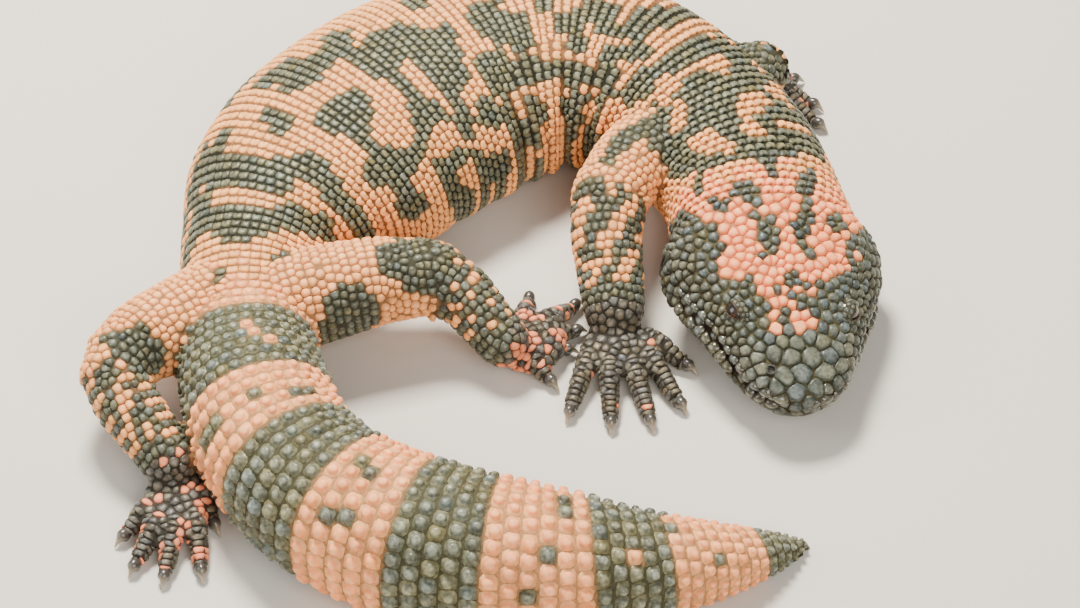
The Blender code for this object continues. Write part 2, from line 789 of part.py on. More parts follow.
def build_head(holder):
    """The head with mouth, nostrils, ear cups and lids, and the two eyes."""
    lines = head_lines()
    back = 2 * CROWN_CELLS
    lip_heights = (MOUTH_HEIGHT + LIP_HALF, MOUTH_HEIGHT, MOUTH_HEIGHT - LIP_HALF)

    def ring_angles(behind):
        lips = [head_angle(behind, height) for height in lip_heights]
        under = [lips[-1] + (-90.0 - lips[-1]) * share for share in CHIN_SHARES]
        right = lips + under
        left = [180.0 - angle for angle in right]
        crown = list(np.linspace(0.0, 180.0, back + 1))
        return crown + left + [270.0] + [360.0 + angle for angle in reversed(right)]

    angles = [ring_angles(behind) for behind in lines]

    def place(line, column, zigzag):
        behind = lines[line]
        near = lines[max(line - 1, 0)] if zigzag < 0 else lines[min(line + 1, len(lines) - 1)]
        behind += (near - behind) * abs(zigzag)
        shift = GAP / 2 if line == 0 else 0.0
        return head_point(behind, angles[line][column], shift)

    head = add_object("head", skin_mesh(place, len(lines), len(angles[0]), 0, back, near_eye), "rose")
    cutters = []
    lids = []
    for side_name, side in (("right", 1), ("left", -1)):
        centre = head_place(EYE_BACK, side * EYE_SIDE, EYE_HEIGHT)
        ahead, aside, above = EYE_AIM
        out = head_place(EYE_BACK + ahead, side * (EYE_SIDE + aside), EYE_HEIGHT + above) - centre
        out /= np.linalg.norm(out)
        lids.append(add_object(f"lid_{side_name}", lid_mesh(centre, out)))
        eye = add_object(f"{side_name}_eye", ball_mesh(centre, EYE_RADIUS, EYE_FACETS), "eye")
        eye.parent = holder
        cutters.append(add_object("socket", ball_mesh(centre, EYE_RADIUS + GAP, EYE_FACETS)))
        nostril = head_place(NOSTRIL_BACK, side * (NOSTRIL_SIDE + NOSTRIL_OUT), NOSTRIL_HEIGHT)
        cutters.append(add_object("nostril", ball_mesh(nostril, NOSTRIL_RADIUS, PIT_FACETS)))
        ear = head_place(EAR_BACK, side * EAR_SIDE, EAR_HEIGHT)
        cutters.append(add_object("ear", ball_mesh(ear, 1.0, PIT_FACETS, EAR_HALF)))
    boolean(head, lids, "UNION")
    boolean(head, cutters, "DIFFERENCE")
    keep_largest(head)
    head.parent = holder


def near_eye(point):
    """Whether a point in metres is close to an eye, where the lids take the beads' place."""
    for side in (1, -1):
        centre = head_place(EYE_BACK, side * EYE_SIDE, EYE_HEIGHT)
        if np.linalg.norm(np.array(point) / MM - centre) < LID_RADIUS + LID_MARGIN:
            return True
    return False


def main():
    """Builds every piece under one empty that sets the part's origin."""
    for old in list(bpy.data.objects):
        bpy.data.objects.remove(old)
    holder = bpy.data.objects.new("gila_monster", None)
    bpy.context.scene.collection.objects.link(holder)
    holder.location = (-FOOTPRINT_MIDDLE[0] * MM, -FOOTPRINT_MIDDLE[1] * MM, 0.0)
    for name, first, last, cells, colour in BODY_LENGTHS:
        mesh = body_mesh(first, last, cells, ROW_PITCH, 0.0, GAP, near_limb)
        piece = add_object(name, mesh, colour)
        piece.parent = holder
    build_head(holder)
    for limb in LIMBS.values():
        build_limb(limb, holder)
        build_foot(limb, holder)


main()
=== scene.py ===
"""A life-size Gila monster at rest: one skin, its beads and plates, its eyes and claws, on a plain floor."""

import logging
import math
from collections.abc import Callable
from dataclasses import dataclass, field
from enum import Enum

import bmesh
import bpy
import numpy as np
from bmesh.types import BMEdge, BMesh, BMVert
from bpy.types import ID, Material, Mesh, Node, Nodes, Object
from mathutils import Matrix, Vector
from mathutils.bvhtree import BVHTree
from mathutils.kdtree import KDTree
from numpy.linalg import norm


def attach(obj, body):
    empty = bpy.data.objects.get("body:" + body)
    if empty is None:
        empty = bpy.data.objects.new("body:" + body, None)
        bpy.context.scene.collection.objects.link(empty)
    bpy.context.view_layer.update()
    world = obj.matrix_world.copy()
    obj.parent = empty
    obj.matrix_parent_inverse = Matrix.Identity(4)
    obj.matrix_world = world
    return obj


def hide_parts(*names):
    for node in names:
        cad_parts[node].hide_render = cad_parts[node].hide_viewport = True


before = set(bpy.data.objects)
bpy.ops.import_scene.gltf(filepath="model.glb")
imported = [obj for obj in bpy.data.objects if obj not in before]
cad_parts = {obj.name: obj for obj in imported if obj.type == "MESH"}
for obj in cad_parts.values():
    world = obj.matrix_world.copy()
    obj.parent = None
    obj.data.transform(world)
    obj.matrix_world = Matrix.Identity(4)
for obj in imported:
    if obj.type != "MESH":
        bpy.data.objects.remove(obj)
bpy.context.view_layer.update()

LOG = logging.getLogger("gila_monster")
MM = 0.001

# The middle of the footprint in the plan that the spine is drawn on, which is the frame's origin
FOOTPRINT_MIDDLE = np.array([-13.1, -6.1, 0.0])

# How wide a bead's patch is in its piece's unwrap, which runs from 0 to 1
UNWRAP_PATCH = 0.003

# Points of a mesh that are closer than this many metres become one
WELD = 1e-6

Points = np.ndarray
Pair = tuple[float, float]
Triple = tuple[float, float, float]
Outline = tuple[Pair, ...]


class Tone(Enum):
    """The two tones of the markings."""

    ROSE = 0
    DARK = 1


class Zone(Enum):
    """Stretches of the animal whose colours differ a little."""

    TAIL = 0
    TRUNK = 1
    HEAD = 2
    LIMB = 3
    FOOT = 4
    CHEEK = 5


@dataclass(frozen=True)
class Finish:
    """How beads, bare skin, claws or eyes take the light, and the record's slot that this stands for."""

    name: str
    slot: str
    roughness: float
    mottle: Pair
    mottle_scale: float
    grain_depth: float
    coat: float = 0.0
    sheen: float = 0.5


ROSE_BEADS = Finish("rose_beads", "rose_skin", 0.46, (0.84, 1.14), 900.0, 0.12, sheen=0.13)
DARK_BEADS = Finish("dark_beads", "dark_skin", 0.30, (0.55, 1.40), 1000.0, 0.18, sheen=0.24)
LIP_BEADS = Finish("lip_beads", "dark_skin", 0.16, (0.55, 1.40), 1000.0, 0.10, 0.4)
SKIN = Finish("skin", "rose_skin", 0.6, (0.75, 1.15), 1200.0, 0.25, sheen=0.08)
LID_SKIN = Finish("lid_skin", "dark_skin", 0.42, (0.6, 1.3), 1400.0, 0.5, sheen=0.25)
HORN = Finish("claw_horn", "horn", 0.25, (0.8, 1.15), 1500.0, 0.06, 0.3)
WET_EYE = Finish("wet_eye", "eye", 0.16, (0.7, 1.2), 2500.0, 0.02, 1.0)


@dataclass(frozen=True)
class Ink:
    """Colours of a bead's crest, body and rim, and of the skin under it."""

    crest: Triple
    body: Triple
    rim: Triple
    skin: Triple


# The rose ink and the dark ink of each zone: the beads' own colours, with highlight painted into the crests
# and shade painted into most rims, at the beads' feet
INKS = {
    Zone.TAIL: (
        Ink((0.98, 0.43, 0.19), (0.93, 0.33, 0.125), (0.72, 0.36, 0.15), (0.42, 0.20, 0.08)),
        Ink((0.225, 0.225, 0.15), (0.134, 0.139, 0.098), (0.14, 0.134, 0.075), (0.06, 0.055, 0.03)),
    ),
    Zone.TRUNK: (
        Ink((0.90, 0.44, 0.165), (0.87, 0.375, 0.125), (0.72, 0.33, 0.115), (0.22, 0.10, 0.04)),
        Ink((0.17, 0.163, 0.094), (0.108, 0.110, 0.068), (0.075, 0.076, 0.046), (0.020, 0.020, 0.013)),
    ),
    Zone.HEAD: (
        Ink((1.0, 0.43, 0.19), (1.0, 0.30, 0.12), (0.78, 0.22, 0.08), (0.40, 0.15, 0.065)),
        Ink((0.12, 0.13, 0.103), (0.060, 0.070, 0.057), (0.115, 0.10, 0.05), (0.080, 0.070, 0.036)),
    ),
    Zone.LIMB: (
        Ink((0.93, 0.45, 0.18), (0.86, 0.36, 0.13), (0.60, 0.28, 0.10), (0.26, 0.13, 0.055)),
        Ink((0.14, 0.14, 0.09), (0.082, 0.086, 0.058), (0.082, 0.078, 0.048), (0.045, 0.042, 0.026)),
    ),
    Zone.FOOT: (
        Ink((0.80, 0.29, 0.15), (0.68, 0.21, 0.10), (0.30, 0.10, 0.05), (0.06, 0.035, 0.025)),
        Ink((0.145, 0.125, 0.09), (0.080, 0.072, 0.055), (0.055, 0.048, 0.035), (0.030, 0.026, 0.020)),
    ),
    Zone.CHEEK: (
        Ink((1.0, 0.43, 0.22), (1.0, 0.30, 0.14), (0.70, 0.22, 0.09), (0.20, 0.09, 0.04)),
        Ink((0.135, 0.138, 0.100), (0.066, 0.069, 0.051), (0.075, 0.064, 0.034), (0.028, 0.022, 0.012)),
    ),
}
INK_TABLE = np.array([[[ink.crest, ink.body, ink.rim, ink.skin] for ink in INKS[zone]] for zone in Zone])


def smooth_table(rows: tuple, at: Points) -> Points:
    """Reads a table between its rows on a monotone cubic.

    Args:
        rows: The table; its first column is where each row stands.
        at: Where it is read.

    Returns:
        One row of the other columns for each place.
    """
    table = np.array(rows, float)
    x, values = table[:, 0], table[:, 1:]
    rate = np.diff(values, axis=0) / np.diff(x)[:, None]
    slope = np.zeros_like(values)
    same = rate[1:] * rate[:-1] > 0
    mean = 2 * rate[1:] * rate[:-1] / np.where(same, rate[1:] + rate[:-1], 1)
    slope[1:-1] = np.where(same, mean, 0)
    slope[0], slope[-1] = rate[0], rate[-1]
    at = np.asarray(at, float).ravel()
    i = np.clip(np.searchsorted(x, at) - 1, 0, len(x) - 2)
    width = (x[i + 1] - x[i])[:, None]
    t = np.clip((at[:, None] - x[i][:, None]) / width, 0, 1)
    start = (1 + 2 * t) * (1 - t) ** 2 * values[i] + t * (1 - t) ** 2 * width * slope[i]
    end = t * t * (3 - 2 * t) * values[i + 1] - t * t * (1 - t) * width * slope[i + 1]
    return start + end


def ease(value: Points, low: float, high: float) -> Points:
    """0 below low, 1 above high, smooth between."""
    t = np.clip((np.asarray(value, float) - low) / (high - low), 0, 1)
    return t * t * (3 - 2 * t)


def unit(vectors: Points) -> Points:
    """Vectors made one long."""
    return vectors / np.maximum(norm(vectors, axis=-1, keepdims=True), 1e-9)


def in_metres(points: Points) -> Points:
    """Points of the plan in millimetres as points of the frame in metres."""
    return (points - FOOTPRINT_MIDDLE) * MM


def in_plan(points: Points) -> Points:
    """Points of the frame in metres as points of the plan in millimetres."""
    return points / MM + FOOTPRINT_MIDDLE


class Form:
    """A surface read by a length along it and an angle round it; 0 degrees is right and 90 the top.

    Directions on it are read a step before and behind a place, and a turn to each side of it.
    """

    step = 0.25
    turn = 1.5

    def points(self, along: Points, angle: Points, lift: Points) -> Points:
        """Points of the surface in millimetres, raised by lift."""
        raise NotImplementedError

    def frames(self, along: Points, angle: Points) -> tuple[Points, Points]:
        """Outward normals, and directions along the surface toward its far end.

        Args:
            along: Where along the form.
            angle: Where round it, in degrees.

        Returns:
            The normals and the directions.
        """
        flat = np.zeros(len(along))
        ahead = self.points(along + self.step, angle, flat) - self.points(along - self.step, angle, flat)
        round_it = self.points(along, angle + self.turn, flat) - self.points(along, angle - self.turn, flat)
        normal = unit(np.cross(ahead, round_it))
        forward = unit(ahead)
        return normal, forward

    def girth(self, along: float, count: int = 180) -> tuple[Points, Points]:
        """Angles round a ring, and the length run along it at each."""
        angles = np.linspace(-90.0, 270.0, count + 1)
        ring = self.points(np.full(count + 1, float(along)), angles, np.zeros(count + 1))
        run = np.concatenate([[0.0], np.cumsum(norm(np.diff(ring, axis=0), axis=1))])
        return angles, run


@dataclass
class Body(Form):
    """Tail, trunk, neck and head on one spine; stations run from the tail tip to the snout.

    A bend is a length and a turn in degrees. A row of sections is the station, the half width, the height,
    and the share of it where the body is widest. A row of head_outline is the distance behind the snout, the
    half width, and the heights of crown and underside.
    """

    tail_tip: Pair = (63.1, -79.2)
    tail_heading: float = 210.4
    bends: tuple = (
        (60, -28), (45, -30), (45, -45), (40, -18), (40, -34), (60, -27), (55, -77), (45, -33), (62, 2),
    )
    bend_blur: float = 20.0
    spine_step: float = 0.5
    sections: tuple = (
        (0, 1.0, 2.2, 0.50), (6, 3.5, 6.6, 0.50), (14, 6.0, 11.2, 0.50), (28, 9.7, 18.0, 0.50),
        (43, 13.0, 24.0, 0.50), (58, 15.9, 29.4, 0.50), (75, 17.8, 33.0, 0.49), (100, 18.6, 34.5, 0.48),
        (125, 18.2, 33.8, 0.48), (150, 18.0, 33.3, 0.48), (170, 17.0, 31.5, 0.47), (188, 16.6, 30.5, 0.46),
        (205, 20.0, 32.0, 0.44), (225, 29.2, 35.5, 0.42), (245, 34.0, 38.5, 0.40), (270, 35.0, 40.0, 0.40),
        (300, 33.3, 38.5, 0.40), (325, 28.6, 36.0, 0.42), (345, 25.2, 33.5, 0.43), (365, 23.2, 32.5, 0.45),
        (385, 22.3, 31.0, 0.46), (400, 23.6, 30.8, 0.46),
    )
    section_power: float = 2.2
    belly_power: float = 2.6
    floor_sink: float = 1.0
    head_roll: float = 9.0
    roll_height: float = 12.0
    head_lift: float = 3.0
    neck_twist: Pair = (355.0, 400.0)
    head_joint: float = 400.0
    head_length: float = 52.0
    head_outline: tuple = (
        (0.0, 3.6, 11.2, 4.6), (1.0, 6.4, 12.6, 3.2), (2.6, 8.8, 13.9, 2.2), (5.5, 11.4, 15.6, 1.2),
        (9.0, 13.5, 17.2, 0.6), (13.0, 15.3, 18.8, 0.2), (20.0, 18.6, 21.6, 0.0), (26.0, 21.8, 23.8, 0.0),
        (32.0, 24.8, 25.4, 0.0), (38.0, 27.1, 27.0, 0.0), (43.0, 27.8, 28.3, 0.0), (47.0, 27.0, 29.4, -0.5),
        (52.0, 23.6, 30.8, -1.0),
    )
    mouth_height: float = 8.4
    lip_rise: float = 2.6
    mouth_corner: float = 37.0
    mouth_fade: float = 6.0
    mouth_depth: float = 3.6
    mouth_climb: float = 3.4
    climb_reach: Pair = (7.0, 24.0)
    lip_half: float = 1.9
    lip_bulge: float = 0.8
    bulge_drop: float = 2.4
    bulge_half: float = 1.9
    bulge_start: Pair = (8.0, 16.0)
    bulge_end: float = 30.0
    snout_round: float = 8.0
    jaw_setback: float = 1.6
    setback_reach: float = 12.0
    pleat_length: float = 15.0
    pleat_depth: float = 4.6
    pleat_gather: Pair = (0.15, 0.6)
    most_gather: float = 0.9
    stations: Points = field(init=False)
    rate: Points = field(init=False)
    plan: Points = field(init=False)
    headings: Points = field(init=False)

    def __post_init__(self) -> None:
        """Walks the spine along its bends, with the changes of bend blurred."""
        self.stations = np.arange(0, sum(length for length, _ in self.bends), self.spine_step)
        rate = np.zeros(len(self.stations))
        start = 0.0
        for length, turned in self.bends:
            rate[(self.stations >= start) & (self.stations < start + length)] = turned / length
            start += length
        blur = int(self.bend_blur / self.spine_step)
        padded = np.pad(rate, blur, mode="edge")
        self.rate = np.convolve(padded, np.ones(blur) / blur, mode="same")[blur:-blur]
        turned = np.concatenate([[0], np.cumsum(self.rate * self.spine_step)])
        self.headings = np.radians(self.tail_heading + turned)
        along = np.stack([np.cos(self.headings), np.sin(self.headings)], axis=1)
        steps = (along[1:] + along[:-1]) / 2 * self.spine_step
        self.plan = np.array(self.tail_tip) + np.concatenate([[[0, 0]], np.cumsum(steps, axis=0)])
        self.stations = np.arange(len(self.headings)) * self.spine_step

    @property
    def length(self) -> float:
        """From the tail tip to the snout."""
        return self.head_joint + self.head_length

    def spine_place(self, station: Points, side: Points, height: Points, ahead: Points = 0.0) -> Points:
        """Points beside, above and ahead of the spine's plan at stations."""
        x = np.interp(station, self.stations, self.plan[:, 0])
        y = np.interp(station, self.stations, self.plan[:, 1])
        heading = np.interp(station, self.stations, self.headings)
        x = x + np.sin(heading) * side + np.cos(heading) * ahead
        y = y - np.cos(heading) * side + np.sin(heading) * ahead
        return np.stack([x, y, height + 0 * x], axis=-1)

    def rolled(self, side: Points, height: Points, amount: Points) -> tuple[Points, Points]:
        """Side and height after a share of the head's roll and lift, kept above the floor."""
        angle = np.radians(self.head_roll * amount)
        above = height - self.roll_height
        turned_side = side * np.cos(angle) - above * np.sin(angle)
        turned_height = self.roll_height + side * np.sin(angle) + above * np.cos(angle)
        return turned_side, np.maximum(turned_height + self.head_lift * amount, 0.0)

    def rounded(self, angle: Points, half: Points, middle: Points, top: Points, bottom: Points) -> tuple:
        """Side and height on a rounded outline."""
        across = np.cos(np.radians(angle))
        up = np.sin(np.radians(angle))
        side = half * np.sign(across) * np.abs(across) ** (2 / self.section_power)
        over = middle + (top - middle) * up
        under = middle - (middle - bottom) * np.abs(up) ** (2 / self.belly_power)
        return side, np.where(up > 0, over, under)

    def squeeze(self, station: Points, side: Points) -> Points:
        """How much the skin is gathered on the inner side of a bend: 0 where it isn't."""
        rate = np.interp(station, self.stations[:-1], self.rate)
        return np.clip(-np.radians(rate) * side, 0.0, self.most_gather)

    def body_points(self, station: Points, angle: Points, lift: Points) -> Points:
        """Points of the tail, trunk and neck."""
        half, height, share = smooth_table(self.sections, station).T
        middle = share * height
        gather = self.squeeze(station, half * np.cos(np.radians(angle)))
        fold = 1 - np.abs(np.sin(math.pi * station / self.pleat_length))
        rise = np.clip(np.sin(np.radians(angle)), 0.0, 1.0)
        lift = lift - self.pleat_depth * ease(gather, *self.pleat_gather) * fold * (1 - rise**2)
        side, up = self.rounded(angle, half + lift, middle, height + lift, -self.floor_sink - lift)
        side, up = self.rolled(side, up, ease(station, *self.neck_twist))
        return self.spine_place(station, side, up)

    def head_place(self, behind: Points, side: Points, height: Points) -> Points:
        """Points given in the head's own directions: behind the snout, to its right, and up."""
        side, up = self.rolled(np.asarray(side, float), np.asarray(height, float), 1.0)
        return self.spine_place(np.full(np.shape(side), self.head_joint), side, up, self.head_length - behind)

    def mouth_line(self, behind: Points) -> Points:
        """Height of the line between the lips, which climbs toward the cheek."""
        return self.mouth_height + self.mouth_climb * ease(behind, *self.climb_reach)

    def head_section(self, behind: Points, angle: Points, lift: Points) -> tuple[Points, Points]:
        """Side and height of places on the head before it is rolled, without the mouth."""
        half, crown, under = smooth_table(self.head_outline, behind).T
        neck_middle = self.sections[-1][3] * self.sections[-1][2]
        blend = ease(behind, self.mouth_corner, self.head_length)
        middle = (1 - blend) * (self.mouth_height + self.lip_rise) + blend * neck_middle
        middle = np.minimum(middle, (crown + self.mouth_height) / 2)
        return self.rounded(angle, half + lift, middle, crown + lift, under - lift)

    def lip_closeness(self, behind: Points, angle: Points) -> Points:
        """1 in the middle of the mouth's line, 0 at the lips' edges."""
        _, up = self.head_section(behind, angle, np.zeros(len(behind)))
        closed = 1 - ease(behind, self.mouth_corner - self.mouth_fade, self.mouth_corner)
        return closed * np.maximum(0.0, 1 - np.abs(up - self.mouth_line(behind)) / self.lip_half)

    def head_points(self, behind: Points, angle: Points, lift: Points) -> Points:
        """Points of the head, with the mouth's line pressed in between the lips and the jaw set back."""
        side, up = self.head_section(behind, angle, lift)
        press = self.mouth_depth * self.lip_closeness(behind, angle)
        line = self.mouth_line(behind)
        lip = ease(behind, *self.bulge_start) * (1 - ease(behind, self.bulge_end, self.mouth_corner))
        bulge = self.lip_bulge * lip * np.exp(-(((line - self.bulge_drop - up) / self.bulge_half) ** 2))
        side = side + np.sign(side) * (bulge - np.minimum(press, np.abs(side)))
        below = 1 - ease(up, line - self.lip_half, line)
        back = self.jaw_setback * below * ease(-behind, -self.setback_reach, 0.0)
        ahead = lift * ease(-behind, -self.snout_round, 0.0)
        return self.head_place(behind + back - ahead, side, up)

    def points(self, along: Points, angle: Points, lift: Points) -> Points:
        """Points of the whole body in millimetres; stations past the head's joint are on the head."""
        along, angle, lift = np.broadcast_arrays(*(np.asarray(a, float) for a in (along, angle, lift)))
        on_body = self.body_points(np.minimum(along, self.head_joint), angle, lift)
        behind = np.clip(self.length - along, 0.0, self.head_length)
        on_head = self.head_points(behind, angle, lift)
        return np.where((along > self.head_joint)[:, None], on_head, on_body)


@dataclass
class Limb(Form):
    """An arm or a leg: upper and lower bones from a root beside the spine, then a palm with five digits.

    The root is a station, a side and a height. A bone is a length, a heading and a fall; the radii stand
    evenly along both. The palm is a reach past the ankle and a heading. A digit is a heading, a length, and
    how far ahead and aside of the palm's middle it starts.
    """

    name: str
    root: Triple
    bones: tuple
    radii: tuple
    nodes: tuple[str, str, str]
    palm: Pair
    digits: tuple
    body: Body
    seed: int
    foot_edge: float
    row_edge: float = 0.28
    knee_spread: float = 0.45
    knee_round: float = 0.16
    palm_half: tuple = (8.8, 8.2, 4.5)
    palm_height: float = 4.2
    step = 0.02

    def __post_init__(self) -> None:
        """Works out the root, the knee or elbow, and the ankle or wrist."""
        station, side, height = self.root
        joints = [self.body.spine_place(np.array([station]), np.array([side]), np.array([height]))[0]]
        for length, heading, fall in self.bones:
            joints.append(joints[-1] + direction(heading, fall) * length)
        self.joints = np.array(joints)
        self.stops = tuple((i * 0.5, radius) for i, radius in enumerate(self.radii))

    def path(self, share: Points) -> Points:
        """Centres along the limb; share runs from 0 at the root over 1 at the knee to 2 at the ankle."""
        start, middle, end = self.joints
        share = np.clip(share, 0.0, 2.0)[:, None]
        upper, lower = start + (middle - start) * share, middle + (end - middle) * (share - 1)
        straight = np.where(share < 1, upper, lower)
        near = np.maximum(0.0, 1 - np.abs(share - 1) / self.knee_spread)
        chord = (start + end) / 2 - middle
        return straight + chord * self.knee_round * near * near * (3 - 2 * near)

    def points(self, along: Points, angle: Points, lift: Points) -> Points:
        """Points of the limb's skin in millimetres."""
        return tube(self.path, self.stops, np.clip(np.asarray(along, float), 0.0, 2.0), angle, lift)

    def palm_middle(self) -> Points:
        """Middle of the palm or sole, a short way past the ankle."""
        reach, heading = self.palm
        middle = self.joints[2] + direction(heading, 0) * reach
        middle[2] = self.palm_height
        return middle

    def fingers(self) -> list["Digit"]:
        """The five digits, the first one first."""
        toward = direction(self.palm[1], 0)
        right = np.cross(toward, (0, 0, 1.0))
        made = []
        for heading, length, ahead, aside in self.digits:
            root = self.palm_middle() + toward * ahead + right * aside
            made.append(Digit(root, heading, length))
        return made


@dataclass
class Digit(Form):
    """A finger or toe, from inside the palm to where its claw grows."""

    root: Points
    heading: float
    length: float
    radii: tuple = (2.9, 2.7, 2.4, 2.0)
    heights: tuple = (4.6, 4.9, 3.4, 1.9)
    step = 0.03

    def centres(self, share: Points) -> Points:
        """Centres along the digit for shares from 0 to 1."""
        share = np.clip(np.asarray(share, float), 0.0, 1.0)
        stops = tuple((i / 3, height) for i, height in enumerate(self.heights))
        spots = self.root + direction(self.heading, 0) * (self.length * share)[:, None]
        spots[:, 2] = smooth_table(stops, share)[:, 0]
        return spots

    def points(self, along: Points, angle: Points, lift: Points) -> Points:
        """Points of the digit's skin in millimetres."""
        stops = tuple((i / 3, radius) for i, radius in enumerate(self.radii))
        return tube(self.centres, stops, np.asarray(along, float), angle, lift)


# How far before and behind a place on a path its direction is read
TUBE_STEP = 0.02


def tube(path: Callable, stops: tuple, along: Points, angle: Points, lift: Points) -> Points:
    """Points round a path, kept above the floor.

    Args:
        path: Gives the centre at each share.
        stops: Shares and the radius at each.
        along: The shares of the points.
        angle: Their angles round the path.
        lift: How far each stands off the tube.

    Returns:
        The points in millimetres.
    """
    side, up = across_axes(unit(path(along + TUBE_STEP) - path(along - TUBE_STEP)))
    radius = smooth_table(stops, along) + np.asarray(lift, float)[:, None]
    turned = np.radians(angle)[:, None]
    made = path(along) + side * radius * np.cos(turned) + up * radius * np.sin(turned)
    made[:, 2] = np.maximum(made[:, 2], 0.0)
    return made


def direction(heading: float, fall: float) -> Points:
    """A unit vector from a heading and an angle of fall, in degrees."""
    turned, drop = math.radians(heading), math.radians(fall)
    return np.array([math.cos(drop) * math.cos(turned), math.cos(drop) * math.sin(turned), -math.sin(drop)])


def across_axes(forward: Points) -> tuple[Points, Points]:
    """Side and up directions square to forward ones, with the side level."""
    side = unit(np.cross(forward, (0, 0, 1.0)))
    return side, np.cross(side, forward)


# Bands of the tail: where each ends, counted from the tip, and its tone
TAIL_BANDS = (
    (14.5, Tone.DARK), (35.5, Tone.ROSE), (54.8, Tone.DARK), (76.0, Tone.ROSE), (97.6, Tone.DARK),
    (117.0, Tone.ROSE), (134.5, Tone.DARK), (151.5, Tone.ROSE), (173.5, Tone.DARK),
)

def patch(start: float, end: float, low: float, high: float) -> Outline:
    """The outline of a mark with four square corners, from its start, its end and its two angles."""
    return ((start, low), (start, high), (end, high), (end, low))
